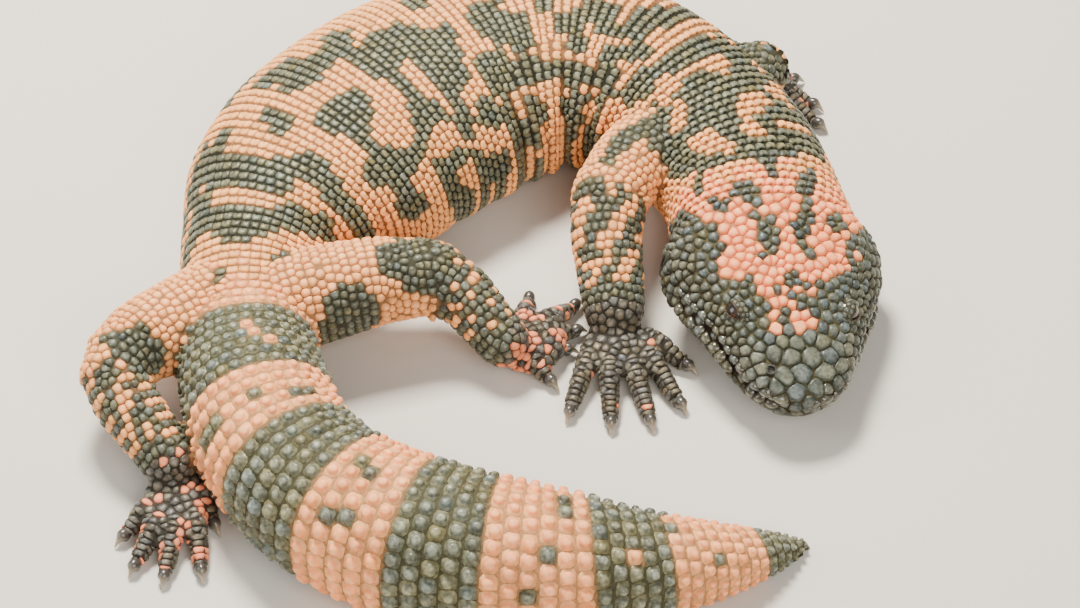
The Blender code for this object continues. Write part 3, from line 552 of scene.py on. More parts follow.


# Outlines of the dark marks on tail, trunk and neck, and of rose ones in them, as stations from the tail tip
# and angles; they were drawn, with the corners in sight read off the photograph
DARK_MARKS: tuple[Outline, ...] = (
    patch(24, 27, 118, 131),
    ((22, 94), (22, 107), (25, 108), (25, 94)),
    patch(61, 65, 116, 126),
    patch(66, 69, 152, 172),
    ((60, 60), (59.5, 84), (62, 84), (62.5, 60)),
    ((106, 124), (105.5, 141), (110, 141), (110, 124)),
    patch(106, 110, 81, 91),
    ((142.5, 126), (142, 172), (146, 174), (146, 128)),
    patch(142, 144.5, 97, 104),
    patch(139, 142, 54, 76),
    ((181, 58), (185, 69), (190, 72), (193, 60), (195, 48), (191, 37), (187, 36), (183, 46)),
    ((181, 108), (183, 126), (184, 150), (184, 190), (189, 190), (189, 146), (188.5, 130), (186.5, 108)),
    ((199, 215), (199, 145), (199, 125), (196, 110), (195.5, 92), (198, 80), (200, 70), (203, 55), (206, 40),
     (206, 20), (202, -20), (209, -20), (211, 20), (211.5, 38), (212, 50), (210, 62), (209.5, 75), (207, 82),
     (204.5, 88), (205.5, 100), (205.5, 120), (205, 143), (205, 215)),
    ((206, 125), (207, 138), (211, 137), (210, 125)),
    ((213, 215), (213, 135), (211, 122), (211, 104), (212, 92), (211.5, 82), (213, 75), (215.5, 79),
     (217.5, 75), (218, 65), (216, 58), (215.5, 40), (216, -20), (223, -20), (222, 30), (222, 45), (224, 62),
     (227, 74), (225, 84), (221, 88), (220, 97), (219, 108), (220, 118), (219, 125), (226, 126), (226, 136),
     (218, 138), (218, 215)),
    ((227, 96), (228, 105), (231, 113), (234, 112), (234.5, 104), (232, 95), (229, 93)),
    ((237, 130), (243, 132), (249, 128), (251, 118), (254, 116), (258, 126), (262, 122), (262, 112),
     (259, 104), (254, 103), (248, 102), (243, 102), (240, 106), (239, 111), (241, 118)),
    ((232.5, 83), (235, 87), (241, 89), (248, 88), (251, 83), (248, 77), (243, 73), (241, 66), (241, 57),
     (243, 50), (250, 51), (253, 57), (255, 64), (256, 70), (257, 80), (255, 90), (255, 101), (262, 102),
     (266, 105), (271, 104), (274, 99), (275, 92), (281, 91), (281, 86), (279, 82), (279, 76), (277, 66),
     (273, 61), (270, 60), (269, 50), (269, 40), (267, 33), (264, 40), (265, 50), (266, 58), (266, 68),
     (267, 80), (264, 88), (262, 90), (262, 80), (261, 70), (262, 62), (264, 54), (262, 50), (258, 52),
     (255, 47), (252, 44), (250, 40), (245, 38), (240, 38), (240, 30), (242, 22), (243, 12), (236, 12),
     (230, 16), (232, 24), (234, 31), (235, 40), (230, 41), (229.5, 46), (231, 54), (236, 57), (237, 64),
     (236, 72), (235, 79)),
    ((273, 52), (278, 53), (279, 45), (278, 36), (274, 35), (272, 42)),
    ((248.5, 37), (251, 30), (250, 24), (254, 22), (256, 26), (262, 26), (266, 22), (264, 32), (258, 33)),
    ((251, 8), (250, 18), (256, 20), (258, 12), (261, 8), (262, -20), (255, -20)),
    ((264, -20), (263, 12), (264, 22), (268, 25), (270, 15), (269, 5), (267, -20)),
    ((271, -20), (271, 10), (272, 22), (276, 20), (276, 8), (275, -20)),
    ((280, -20), (281, 18), (281, 42), (284, 48), (284, 38), (288, 34), (290, 24), (287, 14), (285, -20)),
    ((280, 66), (280, 56), (281, 48), (285, 46), (286, 52), (289, 50), (291, 56), (290, 64), (288, 72),
     (284, 74), (281, 70)),
    ((287, 90), (289, 97), (292, 98), (300, 95), (297, 90), (294, 88), (294, 80), (292, 72), (291, 66),
     (289, 66), (289, 76), (287, 82)),
    ((295, 86), (301, 88), (303, 82), (303, 74), (301, 68), (297, 66), (296, 62), (303, 62), (309, 60),
     (312, 62), (317, 62), (317, 56), (313, 55), (312, 50), (306, 50), (300, 52), (296, 48), (292, 50),
     (291, 58), (294, 66), (294, 76)),
    ((291, 46), (297, 44), (302, 36), (304, 30), (298, 26), (293, 20), (289, -20), (294, -20), (290, 30)),
    ((305, 88), (305, 97), (309, 97), (310, 90)),
    ((309, 76), (309, 86), (314, 88), (318, 98), (321, 102), (326, 99), (326, 92), (322, 88), (317, 78)),
    ((315, 80), (315, 68), (318, 66), (321, 70), (320, 76), (317, 80)),
    ((315, 57), (320, 58), (325, 55), (326, 48), (322, 42), (318, 44), (315, 48)),
    ((312, 40), (318, 42), (325, 38), (325, 30), (318, 27), (312, 30)),
    ((314, -20), (316, 24), (325, 26), (328, 22), (325, 12), (320, -20)),
    ((276, 108), (281, 124), (284, 140), (290, 140), (288, 120), (281, 106)),
    ((292, 104), (296, 118), (299, 140), (305, 140), (303, 116), (299, 103)),
    ((309, 100), (310, 114), (315, 132), (319, 142), (324, 138), (321, 120), (316, 104)),
    ((326, 60), (325, 66), (327, 72), (331, 78), (334, 82), (340, 84), (340, 75), (334, 71), (333, 62),
     (337, 58), (339, 48), (334, 44), (330, 48), (327, 54)),
    ((320, 86), (328, 90), (334, 88), (334, 84), (328, 82), (322, 82)),
    ((329, 90), (329, 104), (330, 112), (333, 120), (333, 140), (336, 140), (337, 118), (337, 106), (335, 98),
     (334, 90)),
    ((330, 40), (337, 44), (338, 38), (333, 33)),
    ((333, 30), (337, 28), (338, 21), (334, 21)),
    ((328, -20), (329, 14), (334, 18), (339, 15), (340, 4), (336, -20)),
    ((342, 42), (341, 56), (341, 70), (343, 78), (343, 98), (342, 112), (344, 120), (344, 134), (350, 138),
     (352, 122), (350, 112), (350, 104), (349, 96), (350, 90), (350, 80), (346, 74), (348, 66), (348, 54),
     (346, 44)),
    ((352, 128), (356, 136), (361, 132), (363, 120), (366, 128), (370, 138), (375, 132), (374, 118),
     (376, 106), (376, 98), (373, 98), (371, 106), (370, 114), (366, 120), (362, 116), (364, 106), (365, 98),
     (369, 92), (379, 84), (378, 76), (371, 70), (371, 62), (370, 56), (373, 50), (372, 42), (368, 50),
     (367, 58), (364, 66), (362, 76), (360, 74), (356, 66), (354, 72), (353, 84), (352, 92), (356, 102),
     (360, 100), (359, 108), (353, 112)),
    ((353, 58), (356, 62), (361, 57), (366, 50), (371, 44), (377, 46), (382, 62), (385, 74), (381, 76),
     (380, 94), (378, 100), (376, 110), (377, 130), (380, 146), (384, 142), (384, 125), (385, 112),
     (386, 100), (395, 91), (389, 88), (386, 84), (387, 66), (387, 54), (384, 44), (385, 36), (385, 30),
     (377, 24), (372, 32), (366, 34), (360, 36), (355, 34), (354, 26), (352, 18), (349, -10), (344, -10),
     (345, 16), (349, 26), (352, 36), (353, 46)),
    ((391, 120), (396, 118), (401, 110), (406, 104), (400, 101), (394, 108), (391, 114)),
    ((386, 48), (390, 46), (394, 40), (390, 36), (386, 40)),
    ((362, 20), (366, 26), (370, 24), (372, 16), (366, 12)),
)
ROSE_MARKS: tuple[Outline, ...] = (
    patch(44, 47, 110, 120),
    patch(161, 168, 85, 93),
    patch(158.5, 162, 67, 79),
    ((296, 92), (296, 96), (303, 95), (303, 90)),
)

# Outlines of the rose marks on the head and of the dark ones in and behind them, drawn in the same way, as
# distances behind the snout and angles
HEAD_ROSE: tuple[Outline, ...] = (
    ((53, 24), (50, 37), (47, 46), (45, 53), (42, 60), (38, 59), (37, 52), (31, 52), (30, 60), (27, 66),
     (24, 66), (20, 72), (16, 74), (16, 96), (19, 106), (25, 107), (30, 115), (33, 126), (36, 127), (38, 121),
     (41, 123), (44, 131), (48, 146), (53, 156)),
    patch(15, 17, 106, 114),
    patch(15, 17, 65, 74),
    patch(24, 26, 54, 59),
    patch(38, 40, 129, 135),
)
HEAD_DARK: tuple[Outline, ...] = (
    ((57, 63), (57, 72), (54, 81), (52, 85), (50, 81), (50, 72), (52, 65)),
    ((34, 77), (35, 81), (38, 87), (41, 86), (45, 84), (48, 79), (47, 75), (44, 79), (38, 79)),
    ((34, 100), (34, 106), (36, 106), (39, 101), (44, 100), (46, 105), (52, 107), (55, 112), (58, 120),
     (60, 118), (59, 110), (55, 103), (48, 99), (45, 95), (39, 94), (36, 95)),
    ((27, 87), (27, 91), (30, 92), (30, 87)),
    ((20, 95), (20, 101), (23, 101), (23, 96)),
    ((43, 117), (45, 123), (48, 127), (49, 122), (46, 116)),
    ((49, 60), (51, 62), (54, 48), (52, 46), (50, 53)),
    ((51, -130), (51, 34), (54.5, 28), (57, 18), (55.5, 8), (58.5, -4), (56.5, -16), (61, -34), (58, -60),
     (60, -130)),
    ((51, 231), (51, 150), (55, 156), (60, 163), (54, 172), (63, 183), (55, 196), (65, 212), (56, 231)),
)

# Outlines of the dark marks on the limbs, drawn in the same way, as angles at shares of the way from the root
# over the knee at 1 to the ankle at 2
LIMB_DARK: dict[str, tuple[Outline, ...]] = {
    "right_leg": (
        ((0.22, -40), (0.22, 10), (0.30, 40), (0.40, 55), (0.50, 50), (0.57, 30), (0.60, 5), (0.57, -20),
         (0.5, -60), (0.45, -120), (0.35, -110), (0.25, -80)),
        ((0.62, 60), (0.65, 95), (0.75, 110), (0.85, 130), (1.2, 150), (1.2, 20), (0.85, 20), (0.75, 50)),
    ),
    "left_leg": (
        ((0.68, 180), (0.68, 120), (0.74, 95), (0.9, 85), (1.25, 60), (1.25, 180)),
        ((0.25, -40), (0.35, 20), (0.5, 30), (0.55, -20), (0.45, -60)),
    ),
    "right_arm": (
        ((0.1, 120), (0.3, 142), (0.6, 155), (0.62, 130), (0.6, 100), (0.75, 92), (1.0, 88), (1.0, 70),
         (0.75, 62), (0.6, 68), (0.5, 82), (0.35, 80), (0.25, 100)),
    ),
    "left_arm": (patch(0.0, 1.1, -180, 180),),
}


def inside(outline: Outline, x: Points, y: Points) -> Points:
    """Whether each place lies inside an outline."""
    found = np.zeros(len(x), bool)
    corners = list(outline)
    for (x0, y0), (x1, y1) in zip(corners, corners[1:] + corners[:1]):
        if y0 == y1:
            continue
        crosses = (y0 > y) != (y1 > y)
        found ^= crosses & (x < (x1 - x0) * (y - y0) / (y1 - y0) + x0)
    return found


def touched(outline: Outline, x: Points, y: Points, spread: Pair) -> Points:
    """Whether each place lies inside an outline, or within a small spread of it."""
    reach_x, reach_y = spread
    found = inside(outline, x, y)
    for step_x, step_y in ((1, 0), (-1, 0), (0, 1), (0, -1)):
        found |= inside(outline, x + step_x * reach_x, y + step_y * reach_y)
    return found


def ripple(x: Points, y: Points, seed: int, waves: int = 7) -> Points:
    """A smooth seeded waviness over a plane, about from -1 to 1."""
    draws = np.random.default_rng(seed)
    total = np.zeros(len(x))
    for _ in range(waves):
        turn, pace, start = draws.uniform(0.0, 1.0, 3) * (2 * math.pi, 1.0, 2 * math.pi) + (0.0, 0.6, 0.0)
        total += np.sin(pace * (x * math.cos(turn) + y * math.sin(turn)) + start)
    return total / math.sqrt(waves)


@dataclass
class Markings:
    """Where the beads, and with them the skin, are rose and where they are dark.

    Past far_side, which the photograph doesn't show, the marks are mirrored and drift. The short rows on the
    limbs, the feet's spots and the single beads on the crown are seeded ripples.
    """

    body: Body
    seam: float = 230.0
    lowest: float = -19.0
    far_side: float = 138.0
    far_drift: float = 0.3
    row_pace: float = 46.0
    row_turn: float = 0.10
    dark_spread: Pair = (0.4, 1.0)
    head_spread: Pair = (0.5, 1.2)
    head_reach: float = 66.0
    scatter_reach: float = 28.0
    scatter_pace: float = 1.5
    scatter_turn: float = 0.5
    scatter_edge: float = 0.2
    scatter_seed: int = 7
    foot_pace: float = 1.1
    knee_end: float = 1.05
    row_span: Pair = (1.12, 1.88)

    def on_body(self, station: Points, angle: Points) -> Points:
        """Tones of places on the body, as the values of Tone."""
        angle = np.where(angle > self.seam, angle - 360, angle)
        tone = np.zeros(len(station), int)
        start = 0.0
        for end, band in TAIL_BANDS:
            tone[(station >= start) & (station < end)] = band.value
            start = end
        beyond = (station > start) & (station < self.body.head_joint) & (angle > self.far_side)
        past = np.where(beyond, angle - self.far_side, 0.0)
        place = station + past * self.far_drift
        turned = np.maximum(np.where(beyond, self.far_side - past, angle), self.lowest)
        for outline in DARK_MARKS:
            tone[touched(outline, place, turned, self.dark_spread)] = Tone.DARK.value
        for outline in ROSE_MARKS:
            tone[inside(outline, place, turned)] = Tone.ROSE.value
        behind = self.body.length - station
        head = station > self.body.head_joint
        tone[head] = Tone.DARK.value
        for outline in HEAD_ROSE:
            tone[head & inside(outline, behind, angle)] = Tone.ROSE.value
        scattered = ripple(behind * self.scatter_pace, angle * self.scatter_turn, self.scatter_seed)
        tone[head & (behind < self.scatter_reach) & (scattered > self.scatter_edge)] = Tone.DARK.value
        for outline in HEAD_DARK:
            near = touched(outline, behind, angle, self.head_spread)
            tone[near & (behind < self.head_reach)] = Tone.DARK.value
        return tone

    def on_limb(self, limb: Limb, share: Points, angle: Points) -> Points:
        """Tones of places on a limb: patches above the knee, short rows of rose beads below it."""
        angle = (np.asarray(angle, float) + 180.0) % 360.0 - 180.0
        tone = np.where(share > self.knee_end, Tone.DARK.value, Tone.ROSE.value)
        for outline in LIMB_DARK[limb.name]:
            tone[inside(outline, share, angle)] = Tone.DARK.value
        rows = ripple(share * self.row_pace, angle * self.row_turn, limb.seed)
        first, last = self.row_span
        tone[(share > first) & (share < last) & (rows > limb.row_edge)] = Tone.ROSE.value
        return tone

    def on_foot(self, limb: Limb, places: Points) -> Points:
        """Tones of places on a foot and its digits."""
        patches = ripple(places[:, 0] * self.foot_pace, places[:, 1] * self.foot_pace, limb.seed + 1)
        return np.where(patches > limb.foot_edge, Tone.ROSE.value, Tone.DARK.value)


class Part(Enum):
    """The pieces that the coat is made in."""

    TAIL = 0
    BACK = 1
    SHOULDER = 2
    HEAD = 3
    RIGHT_LEG = 4
    LEFT_LEG = 5
    RIGHT_ARM = 6
    LEFT_ARM = 7
    FEET = 8
    DIGITS = 9
    LIPS = 10
    SNOUT = 11


LIMB_PARTS = (Part.RIGHT_LEG, Part.LEFT_LEG, Part.RIGHT_ARM, Part.LEFT_ARM)


@dataclass
class BeadSet:
    """Many beads: where each sits and faces, its size and shape, its colours, its piece and unwrap place."""

    places: Points
    normals: Points
    forwards: Points
    sizes: Points
    heights: Points
    stretches: Points
    bends: Points
    tones: Points
    zones: Points
    parts: Points
    unwrap: Points

    def keep(self, chosen: Points) -> "BeadSet":
        """The same set with only the chosen beads."""
        return BeadSet(*(getattr(self, name)[chosen] for name in self.__dataclass_fields__))

    @staticmethod
    def joined(sets: list["BeadSet"]) -> "BeadSet":
        """Several sets as one."""
        names = BeadSet.__dataclass_fields__
        return BeadSet(*(np.concatenate([getattr(beads, name) for beads in sets]) for name in names))


def tree_of(places: Points) -> KDTree:
    """A tree that finds the nearest of some places."""
    tree = KDTree(len(places))
    for i, place in enumerate(places):
        tree.insert(place, i)
    tree.balance()
    return tree


def thinned(beads: BeadSet, closeness: float) -> BeadSet:
    """Leaves out each bead that comes too close to one that is kept before it.

    Args:
        beads: The beads, the most wanted first.
        closeness: The least distance as a share of a bead's size.

    Returns:
        The beads that are kept.
    """
    cell = float(beads.sizes.max())
    steps = [(x, y, z) for x in (-1, 0, 1) for y in (-1, 0, 1) for z in (-1, 0, 1)]
    grid: dict[tuple[int, int, int], list[int]] = {}
    kept = []
    for i, place in enumerate(beads.places):
        x, y, z = (int(math.floor(value / cell)) for value in place)
        near = [j for dx, dy, dz in steps for j in grid.get((x + dx, y + dy, z + dz), ())]
        if near and norm(beads.places[near] - place, axis=1).min() < closeness * beads.sizes[i]:
            continue
        grid.setdefault((x, y, z), []).append(i)
        kept.append(i)
    return beads.keep(np.array(kept, int))


@dataclass(frozen=True)
class Profile:
    """The side view of a bead from its rim to its top, and how round it is at each level.

    Reach, rise and roundness have a value for each level. The spread is the widest reach as a share of the
    bead's size, the gap is the groove between rings, and square beads stand in straight rings.
    """

    reach: tuple[float, ...]
    rise: tuple[float, ...]
    roundness: tuple[float, ...]
    spread: float
    lean: float = 0.0
    notch: float = 0.0
    gap: float = 0.04
    corners: int = 12
    square: bool = False


TAIL_BEAD = Profile(
    (1.0, 0.97, 0.82, 0.77, 0.66, 0.40, 0.0), (-0.30, 0.06, 0.14, 0.42, 0.74, 0.95, 1.0),
    (0.0, 0.0, 0.8, 1.0, 1.0, 1.0, 0.0), 0.72, lean=0.03, gap=0.07, square=True)
TRUNK_BEAD = Profile(
    (1.0, 0.95, 0.80, 0.48, 0.0), (-0.5, 0.36, 0.76, 0.95, 1.0), (0.0, 0.0, 0.3, 0.7, 0.0), 0.62,
    lean=0.15, notch=0.75, gap=0.05)
HEAD_BEAD = Profile(
    (1.0, 0.95, 0.80, 0.48, 0.0), (-0.4, 0.22, 0.68, 0.94, 1.0), (0.0, 0.15, 0.5, 0.8, 0.0), 0.72)
SNOUT_PLATE = Profile(
    (1.0, 0.985, 0.90, 0.62, 0.0), (-0.4, 0.42, 0.82, 0.97, 1.0), (0.0, 0.05, 0.2, 0.6, 0.0), 0.85)
LIMB_BEAD = Profile(
    (1.0, 0.94, 0.76, 0.45, 0.0), (-0.5, 0.28, 0.74, 0.95, 1.0), (0.0, 0.25, 0.6, 0.9, 0.0), 0.64, lean=0.12)
FOOT_BEAD = Profile(
    (1.0, 0.94, 0.78, 0.45, 0.0), (-0.5, 0.25, 0.72, 0.94, 1.0), (0.0, 0.1, 0.4, 0.8, 0.0), 0.78, lean=0.1)
SCUTE = Profile(
    (1.0, 0.95, 0.80, 0.45, 0.0), (-0.6, 0.25, 0.75, 0.95, 1.0), (0.0, 0.0, 0.1, 0.2, 0.0), 0.70,
    lean=0.12, gap=0.05, corners=14)
PROFILES = {
    Part.TAIL: TAIL_BEAD, Part.HEAD: HEAD_BEAD, Part.LIPS: HEAD_BEAD, Part.SNOUT: SNOUT_PLATE,
    Part.DIGITS: SCUTE, Part.FEET: FOOT_BEAD, **dict.fromkeys(LIMB_PARTS, LIMB_BEAD),
}


# How many neighbours cut a bead's outline, how much longer the way to one is round a bend at most, from which
# cosine on a direction faces one, and the reach in millimetres that a bead keeps
NEIGHBOURS = 9
MOST_BENT = 1.6
LEAST_FACING = 0.08
LEAST_REACH = 0.2


def bead_outlines(beads: BeadSet, profile: Profile) -> Points:
    """How far each bead can reach in each direction, half way to its neighbours at most.

    Args:
        beads: The beads.
        profile: Their profile, with the groove between rings, and whether a ring's edges run straight.

    Returns:
        One row of distances for each bead, in millimetres.
    """
    sides = unit(np.cross(beads.normals, beads.forwards))
    tree = tree_of(beads.places)
    near = np.zeros((len(beads.places), NEIGHBOURS), int)
    for i, place in enumerate(beads.places):
        near[i] = [j for _, j, _ in tree.find_n(place, NEIGHBOURS + 1) if j != i][:NEIGHBOURS]
    offset = beads.places[near] - beads.places[:, None, :]
    along = np.einsum("nkc,nc->nk", offset, beads.forwards)
    across = np.einsum("nkc,nc->nk", offset, sides)
    bent = norm(offset, axis=2) / np.maximum(np.hypot(along, across), 0.1)
    bent = np.clip(bent, 1.0, MOST_BENT)
    along = along * bent
    across = across * bent / beads.stretches[:, None]
    if profile.square:
        across = np.where(np.abs(along) > np.abs(across) * 0.5, 0.0, across)
    toward = np.arctan2(across, along)
    half = np.hypot(along, across) / 2 - profile.gap * np.abs(np.cos(toward))
    turns = 2 * math.pi * np.arange(profile.corners) / profile.corners
    facing = np.cos(turns[None, None, :] - toward[:, :, None])
    limit = np.where(facing > LEAST_FACING, half[:, :, None] / np.maximum(facing, LEAST_FACING), np.inf)
    return np.maximum(limit.min(axis=1), LEAST_REACH)


def linked(name: str, data: ID) -> Object:
    """A new object in the scene."""
    made = bpy.data.objects.new(name, data)
    bpy.context.scene.collection.objects.link(made)
    return made


def finished_object(
    name: str, mesh: Mesh, workshop: "Workshop", finish: Finish
) -> Object:
    """Puts a mesh in the scene as a piece of the animal that rides on the root.

    Args:
        name: The piece's name.
        mesh: Its mesh.
        workshop: Where its material is made.
        finish: Its finish, which names the record's material slot.

    Returns:
        The piece.
    """
    material = workshop.keratin(finish)
    made = linked(name, mesh)
    mesh.materials.clear()
    mesh.materials.append(material)
    mesh.shade_smooth()
    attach(made, "root")
    LOG.info("%s: %d faces", name, len(mesh.polygons))
    return made


def paint(mesh: Mesh, colours: Points) -> None:
    """Stores one colour for each point of a mesh, as its tint."""
    attribute = mesh.color_attributes.new("tint", "FLOAT_COLOR", "POINT")
    opaque = np.ones((len(mesh.vertices), 4), np.float32)
    opaque[:, :3] = colours
    attribute.data.foreach_set("color", opaque.ravel())


# How single beads differ: in tilt, in height, in shade and its limits, and in warmth, which adds to red and
# takes from blue
BEAD_TILT = 0.05
HEIGHT_RANGE = (0.88, 1.1)
ROSE_SPREAD = 0.08
DARK_SPREAD = 0.17
SHADE_RANGE = (0.65, 1.35)
WARM_SPREAD = 0.5
WARM_TURN = (0.6, 0.0, -1.2)

# A round ring's reach as a share of the bead's least one, how sharp a rim's notch is, and the rises between
# which the inks of body and crest set in: the rim's painted shade below, the crest's painted highlight on top
ROUND_SHARE = 1.04
NOTCH_POWER = 6
BODY_RISES = (0.0, 0.55)
CREST_RISES = (0.82, 1.0)


def bead_mesh(
    name: str, beads: BeadSet, outline: Points, profile: Profile, rng: np.random.Generator
) -> Mesh:
    """Raises each bead's outline to its profile and joins all of them into one mesh.

    Args:
        name: The mesh's name.
        beads: The beads.
        outline: How far each bead can reach in each direction.
        profile: Their profile.
        rng: Where the small differences come from.

    Returns:
        The mesh, in metres in the frame, with tints and the unwrap patches.
    """
    count, corners, levels = len(beads.places), profile.corners, len(profile.reach) - 1
    outline = np.minimum(outline, (beads.sizes * profile.spread)[:, None])
    smallest = outline.min(axis=1, keepdims=True) * ROUND_SHARE
    sides = unit(np.cross(beads.normals, beads.forwards))
    tilt = rng.normal(0.0, BEAD_TILT, (count, 2))
    normals = unit(beads.normals + beads.forwards * tilt[:, :1] + sides * tilt[:, 1:])
    turns = 2 * math.pi * np.arange(corners) / corners
    heights = beads.heights * rng.uniform(*HEIGHT_RANGE, count)
    stride = levels * corners + 1
    points = np.zeros((count, stride, 3))
    rises = np.ones(stride)
    pits = np.zeros(stride)
    flat = np.zeros((stride, 2))
    for level in range(levels):
        ring = slice(level * corners, (level + 1) * corners)
        even = outline + (smallest - outline) * profile.roundness[level]
        notch = profile.notch * (1 - profile.roundness[level])
        pits[ring] = notch * np.maximum(0, np.cos(turns)) ** NOTCH_POWER
        even = even * (1 - pits[ring])
        reach = even * profile.reach[level]
        lean = profile.lean * beads.sizes * (1 - profile.reach[level])
        along = reach * np.cos(turns) - lean[:, None]
        across = reach * np.sin(turns) * beads.stretches[:, None]
        up = heights[:, None] * profile.rise[level] - across**2 * beads.bends[:, None] / 2
        points[:, ring] = (
            beads.places[:, None] + beads.forwards[:, None] * along[..., None]
            + sides[:, None] * across[..., None] + normals[:, None] * up[..., None]
        )
        rises[ring] = profile.rise[level]
        flat[ring] = np.stack([np.cos(turns), np.sin(turns)], axis=1) * profile.reach[level]
    points[:, -1] = (
        beads.places + normals * heights[:, None] - beads.forwards * (profile.lean * beads.sizes)[:, None]
    )
    points[..., 2] = np.maximum(points[..., 2], 0.0)
    mesh, corner_list = joined_domes(name, points, corners, levels)
    # Rim ink at the foot, partly painted shade; crest ink on top, partly a painted highlight
    low, high = ease(rises, *BODY_RISES)[:, None], ease(rises, *CREST_RISES)[:, None]
    shares = np.concatenate([high, low * (1 - high), (1 - low) * (1 - high)], axis=1)
    inks = INK_TABLE[beads.zones, beads.tones]
    uneven = np.where(beads.tones == Tone.DARK.value, DARK_SPREAD, ROSE_SPREAD)[:, None, None]
    shade = np.clip(1 + rng.normal(0.0, 1.0, (count, 1, 1)) * uneven, *SHADE_RANGE)
    warm = rng.normal(0.0, WARM_SPREAD, (count, 1, 1)) * uneven * np.array(WARM_TURN)
    tint = np.einsum("sk,nkc->nsc", shares, inks[:, :3]) * shade * (1 + warm)
    tint += (inks[:, None, 3] - tint) * pits[:, None]
    paint(mesh, np.clip(tint, 0.0, 1.0).reshape(-1, 3))
    places = beads.unwrap[:, None, :] + flat[None] * UNWRAP_PATCH / 2
    layer = mesh.uv_layers.new(name="OFBake")
    layer.data.foreach_set("uv", places.reshape(-1, 2)[corner_list].ravel().astype(np.float32))
    return mesh


def joined_domes(name: str, points: Points, corners: int, levels: int) -> tuple[Mesh, Points]:
    """One mesh of many domes, each of some rings of corners and a top.

    Args:
        name: The mesh's name.
        points: The points of each dome in millimetres, ring by ring, the top last.
        corners: How many points a ring has.
        levels: How many rings there are.

    Returns:
        The mesh, and the point that each of its face corners uses.
    """
    count, stride = points.shape[:2]
    ring = np.arange(corners)
    ahead = (ring + 1) % corners
    quad = np.stack([ring, ahead, ahead + corners, ring + corners], axis=1)
    quads = np.concatenate([quad + level * corners for level in range(levels - 1)])
    last = (levels - 1) * corners
    tips = np.stack([last + ring, last + ahead, np.full(corners, stride - 1)], axis=1)
    dome = np.concatenate([quads.ravel(), tips.ravel()])
    corner_list = (np.arange(count)[:, None] * stride + dome).ravel()
    sizes = np.tile(np.concatenate([np.full(len(quads), 4), np.full(len(tips), 3)]), count)
    mesh = bpy.data.meshes.new(name)
    mesh.vertices.add(count * stride)
    mesh.vertices.foreach_set("co", in_metres(points.reshape(-1, 3)).ravel())
    mesh.loops.add(len(corner_list))
    mesh.loops.foreach_set("vertex_index", corner_list.astype(np.int32))
    mesh.polygons.add(len(sizes))
    mesh.polygons.foreach_set("loop_start", np.concatenate([[0], np.cumsum(sizes)[:-1]]).astype(np.int32))
    mesh.update(calc_edges=True)
    return mesh, corner_list


class Workshop:
    """Makes the procedural materials, each once."""

    mottle_detail = 4.0
    grain_detail = 6.0
    grain_pace = 2.6
    grain_step = 0.0003
    noise_span = (0.32, 0.68)
    rough_span = (-0.1, 0.18)

    def __init__(self) -> None:
        """Starts with no material made."""
        self.made: dict[str, Material] = {}

    def keratin(self, finish: Finish) -> Material:
        """The material of beads, skin, claws or eyes: the mesh's tint, mottled, with a fine grain.

        Args:
            finish: The finish.

        Returns:
            The material.
        """
        if finish.name in self.made:
            return self.made[finish.name]
        material = bpy.data.materials.new(finish.name)
        material.use_nodes = True
        nodes, links = material.node_tree.nodes, material.node_tree.links
        shader = nodes["Principled BSDF"]
        tint = nodes.new("ShaderNodeAttribute")
        tint.attribute_name = "tint"
        place = nodes.new("ShaderNodeTexCoord")
        mottle = self.noise(nodes, finish.mottle_scale, self.mottle_detail)
        grain = self.noise(nodes, finish.mottle_scale * self.grain_pace, self.grain_detail)
        links.new(place.outputs["Object"], mottle.inputs["Vector"])
        links.new(place.outputs["Object"], grain.inputs["Vector"])
        spread = self.mapped(nodes, self.noise_span, finish.mottle)
        links.new(mottle.outputs["Fac"], spread.inputs["Value"])
        colour = nodes.new("ShaderNodeVectorMath")
        colour.operation = "SCALE"
        links.new(tint.outputs["Color"], colour.inputs[0])
        links.new(spread.outputs["Result"], colour.inputs["Scale"])
        links.new(colour.outputs["Vector"], shader.inputs["Base Color"])
        rough_range = tuple(finish.roughness + change for change in self.rough_span)
        rough = self.mapped(nodes, (0.0, 1.0), rough_range)
        links.new(grain.outputs["Fac"], rough.inputs["Value"])
        links.new(rough.outputs["Result"], shader.inputs["Roughness"])
        bump = nodes.new("ShaderNodeBump")
        bump.inputs["Strength"].default_value = finish.grain_depth
        bump.inputs["Distance"].default_value = self.grain_step
        links.new(grain.outputs["Fac"], bump.inputs["Height"])
        links.new(bump.outputs["Normal"], shader.inputs["Normal"])
        shader.inputs["Coat Weight"].default_value = finish.coat
        shader.inputs["Specular IOR Level"].default_value = finish.sheen
        self.made[finish.name] = material
        return material

    @staticmethod
    def noise(nodes: Nodes, scale: float, detail: float) -> Node:
        """A noise texture node."""
        made = nodes.new("ShaderNodeTexNoise")
        made.inputs["Scale"].default_value = scale
        made.inputs["Detail"].default_value = detail
        return made

    @staticmethod
    def mapped(nodes: Nodes, taken: tuple, given: tuple) -> Node:
        """A node that maps one range of values to another."""
        made = nodes.new("ShaderNodeMapRange")
        made.inputs["From Min"].default_value, made.inputs["From Max"].default_value = taken
        made.inputs["To Min"].default_value, made.inputs["To Max"].default_value = given
        return made


def mesh_of(build: BMesh, name: str) -> Mesh:
    """A bmesh as a mesh; the bmesh is freed."""
    mesh = bpy.data.meshes.new(name)
    build.to_mesh(mesh)
    build.free()
    return mesh


def joined_mesh(parts: list[BMesh], name: str) -> Mesh:
    """Several bmeshes as one mesh; they are freed."""
    joined = bmesh.new()
    for part in parts:
        mesh = mesh_of(part, "part")
        joined.from_mesh(mesh)
        bpy.data.meshes.remove(mesh)
    return mesh_of(joined, name)


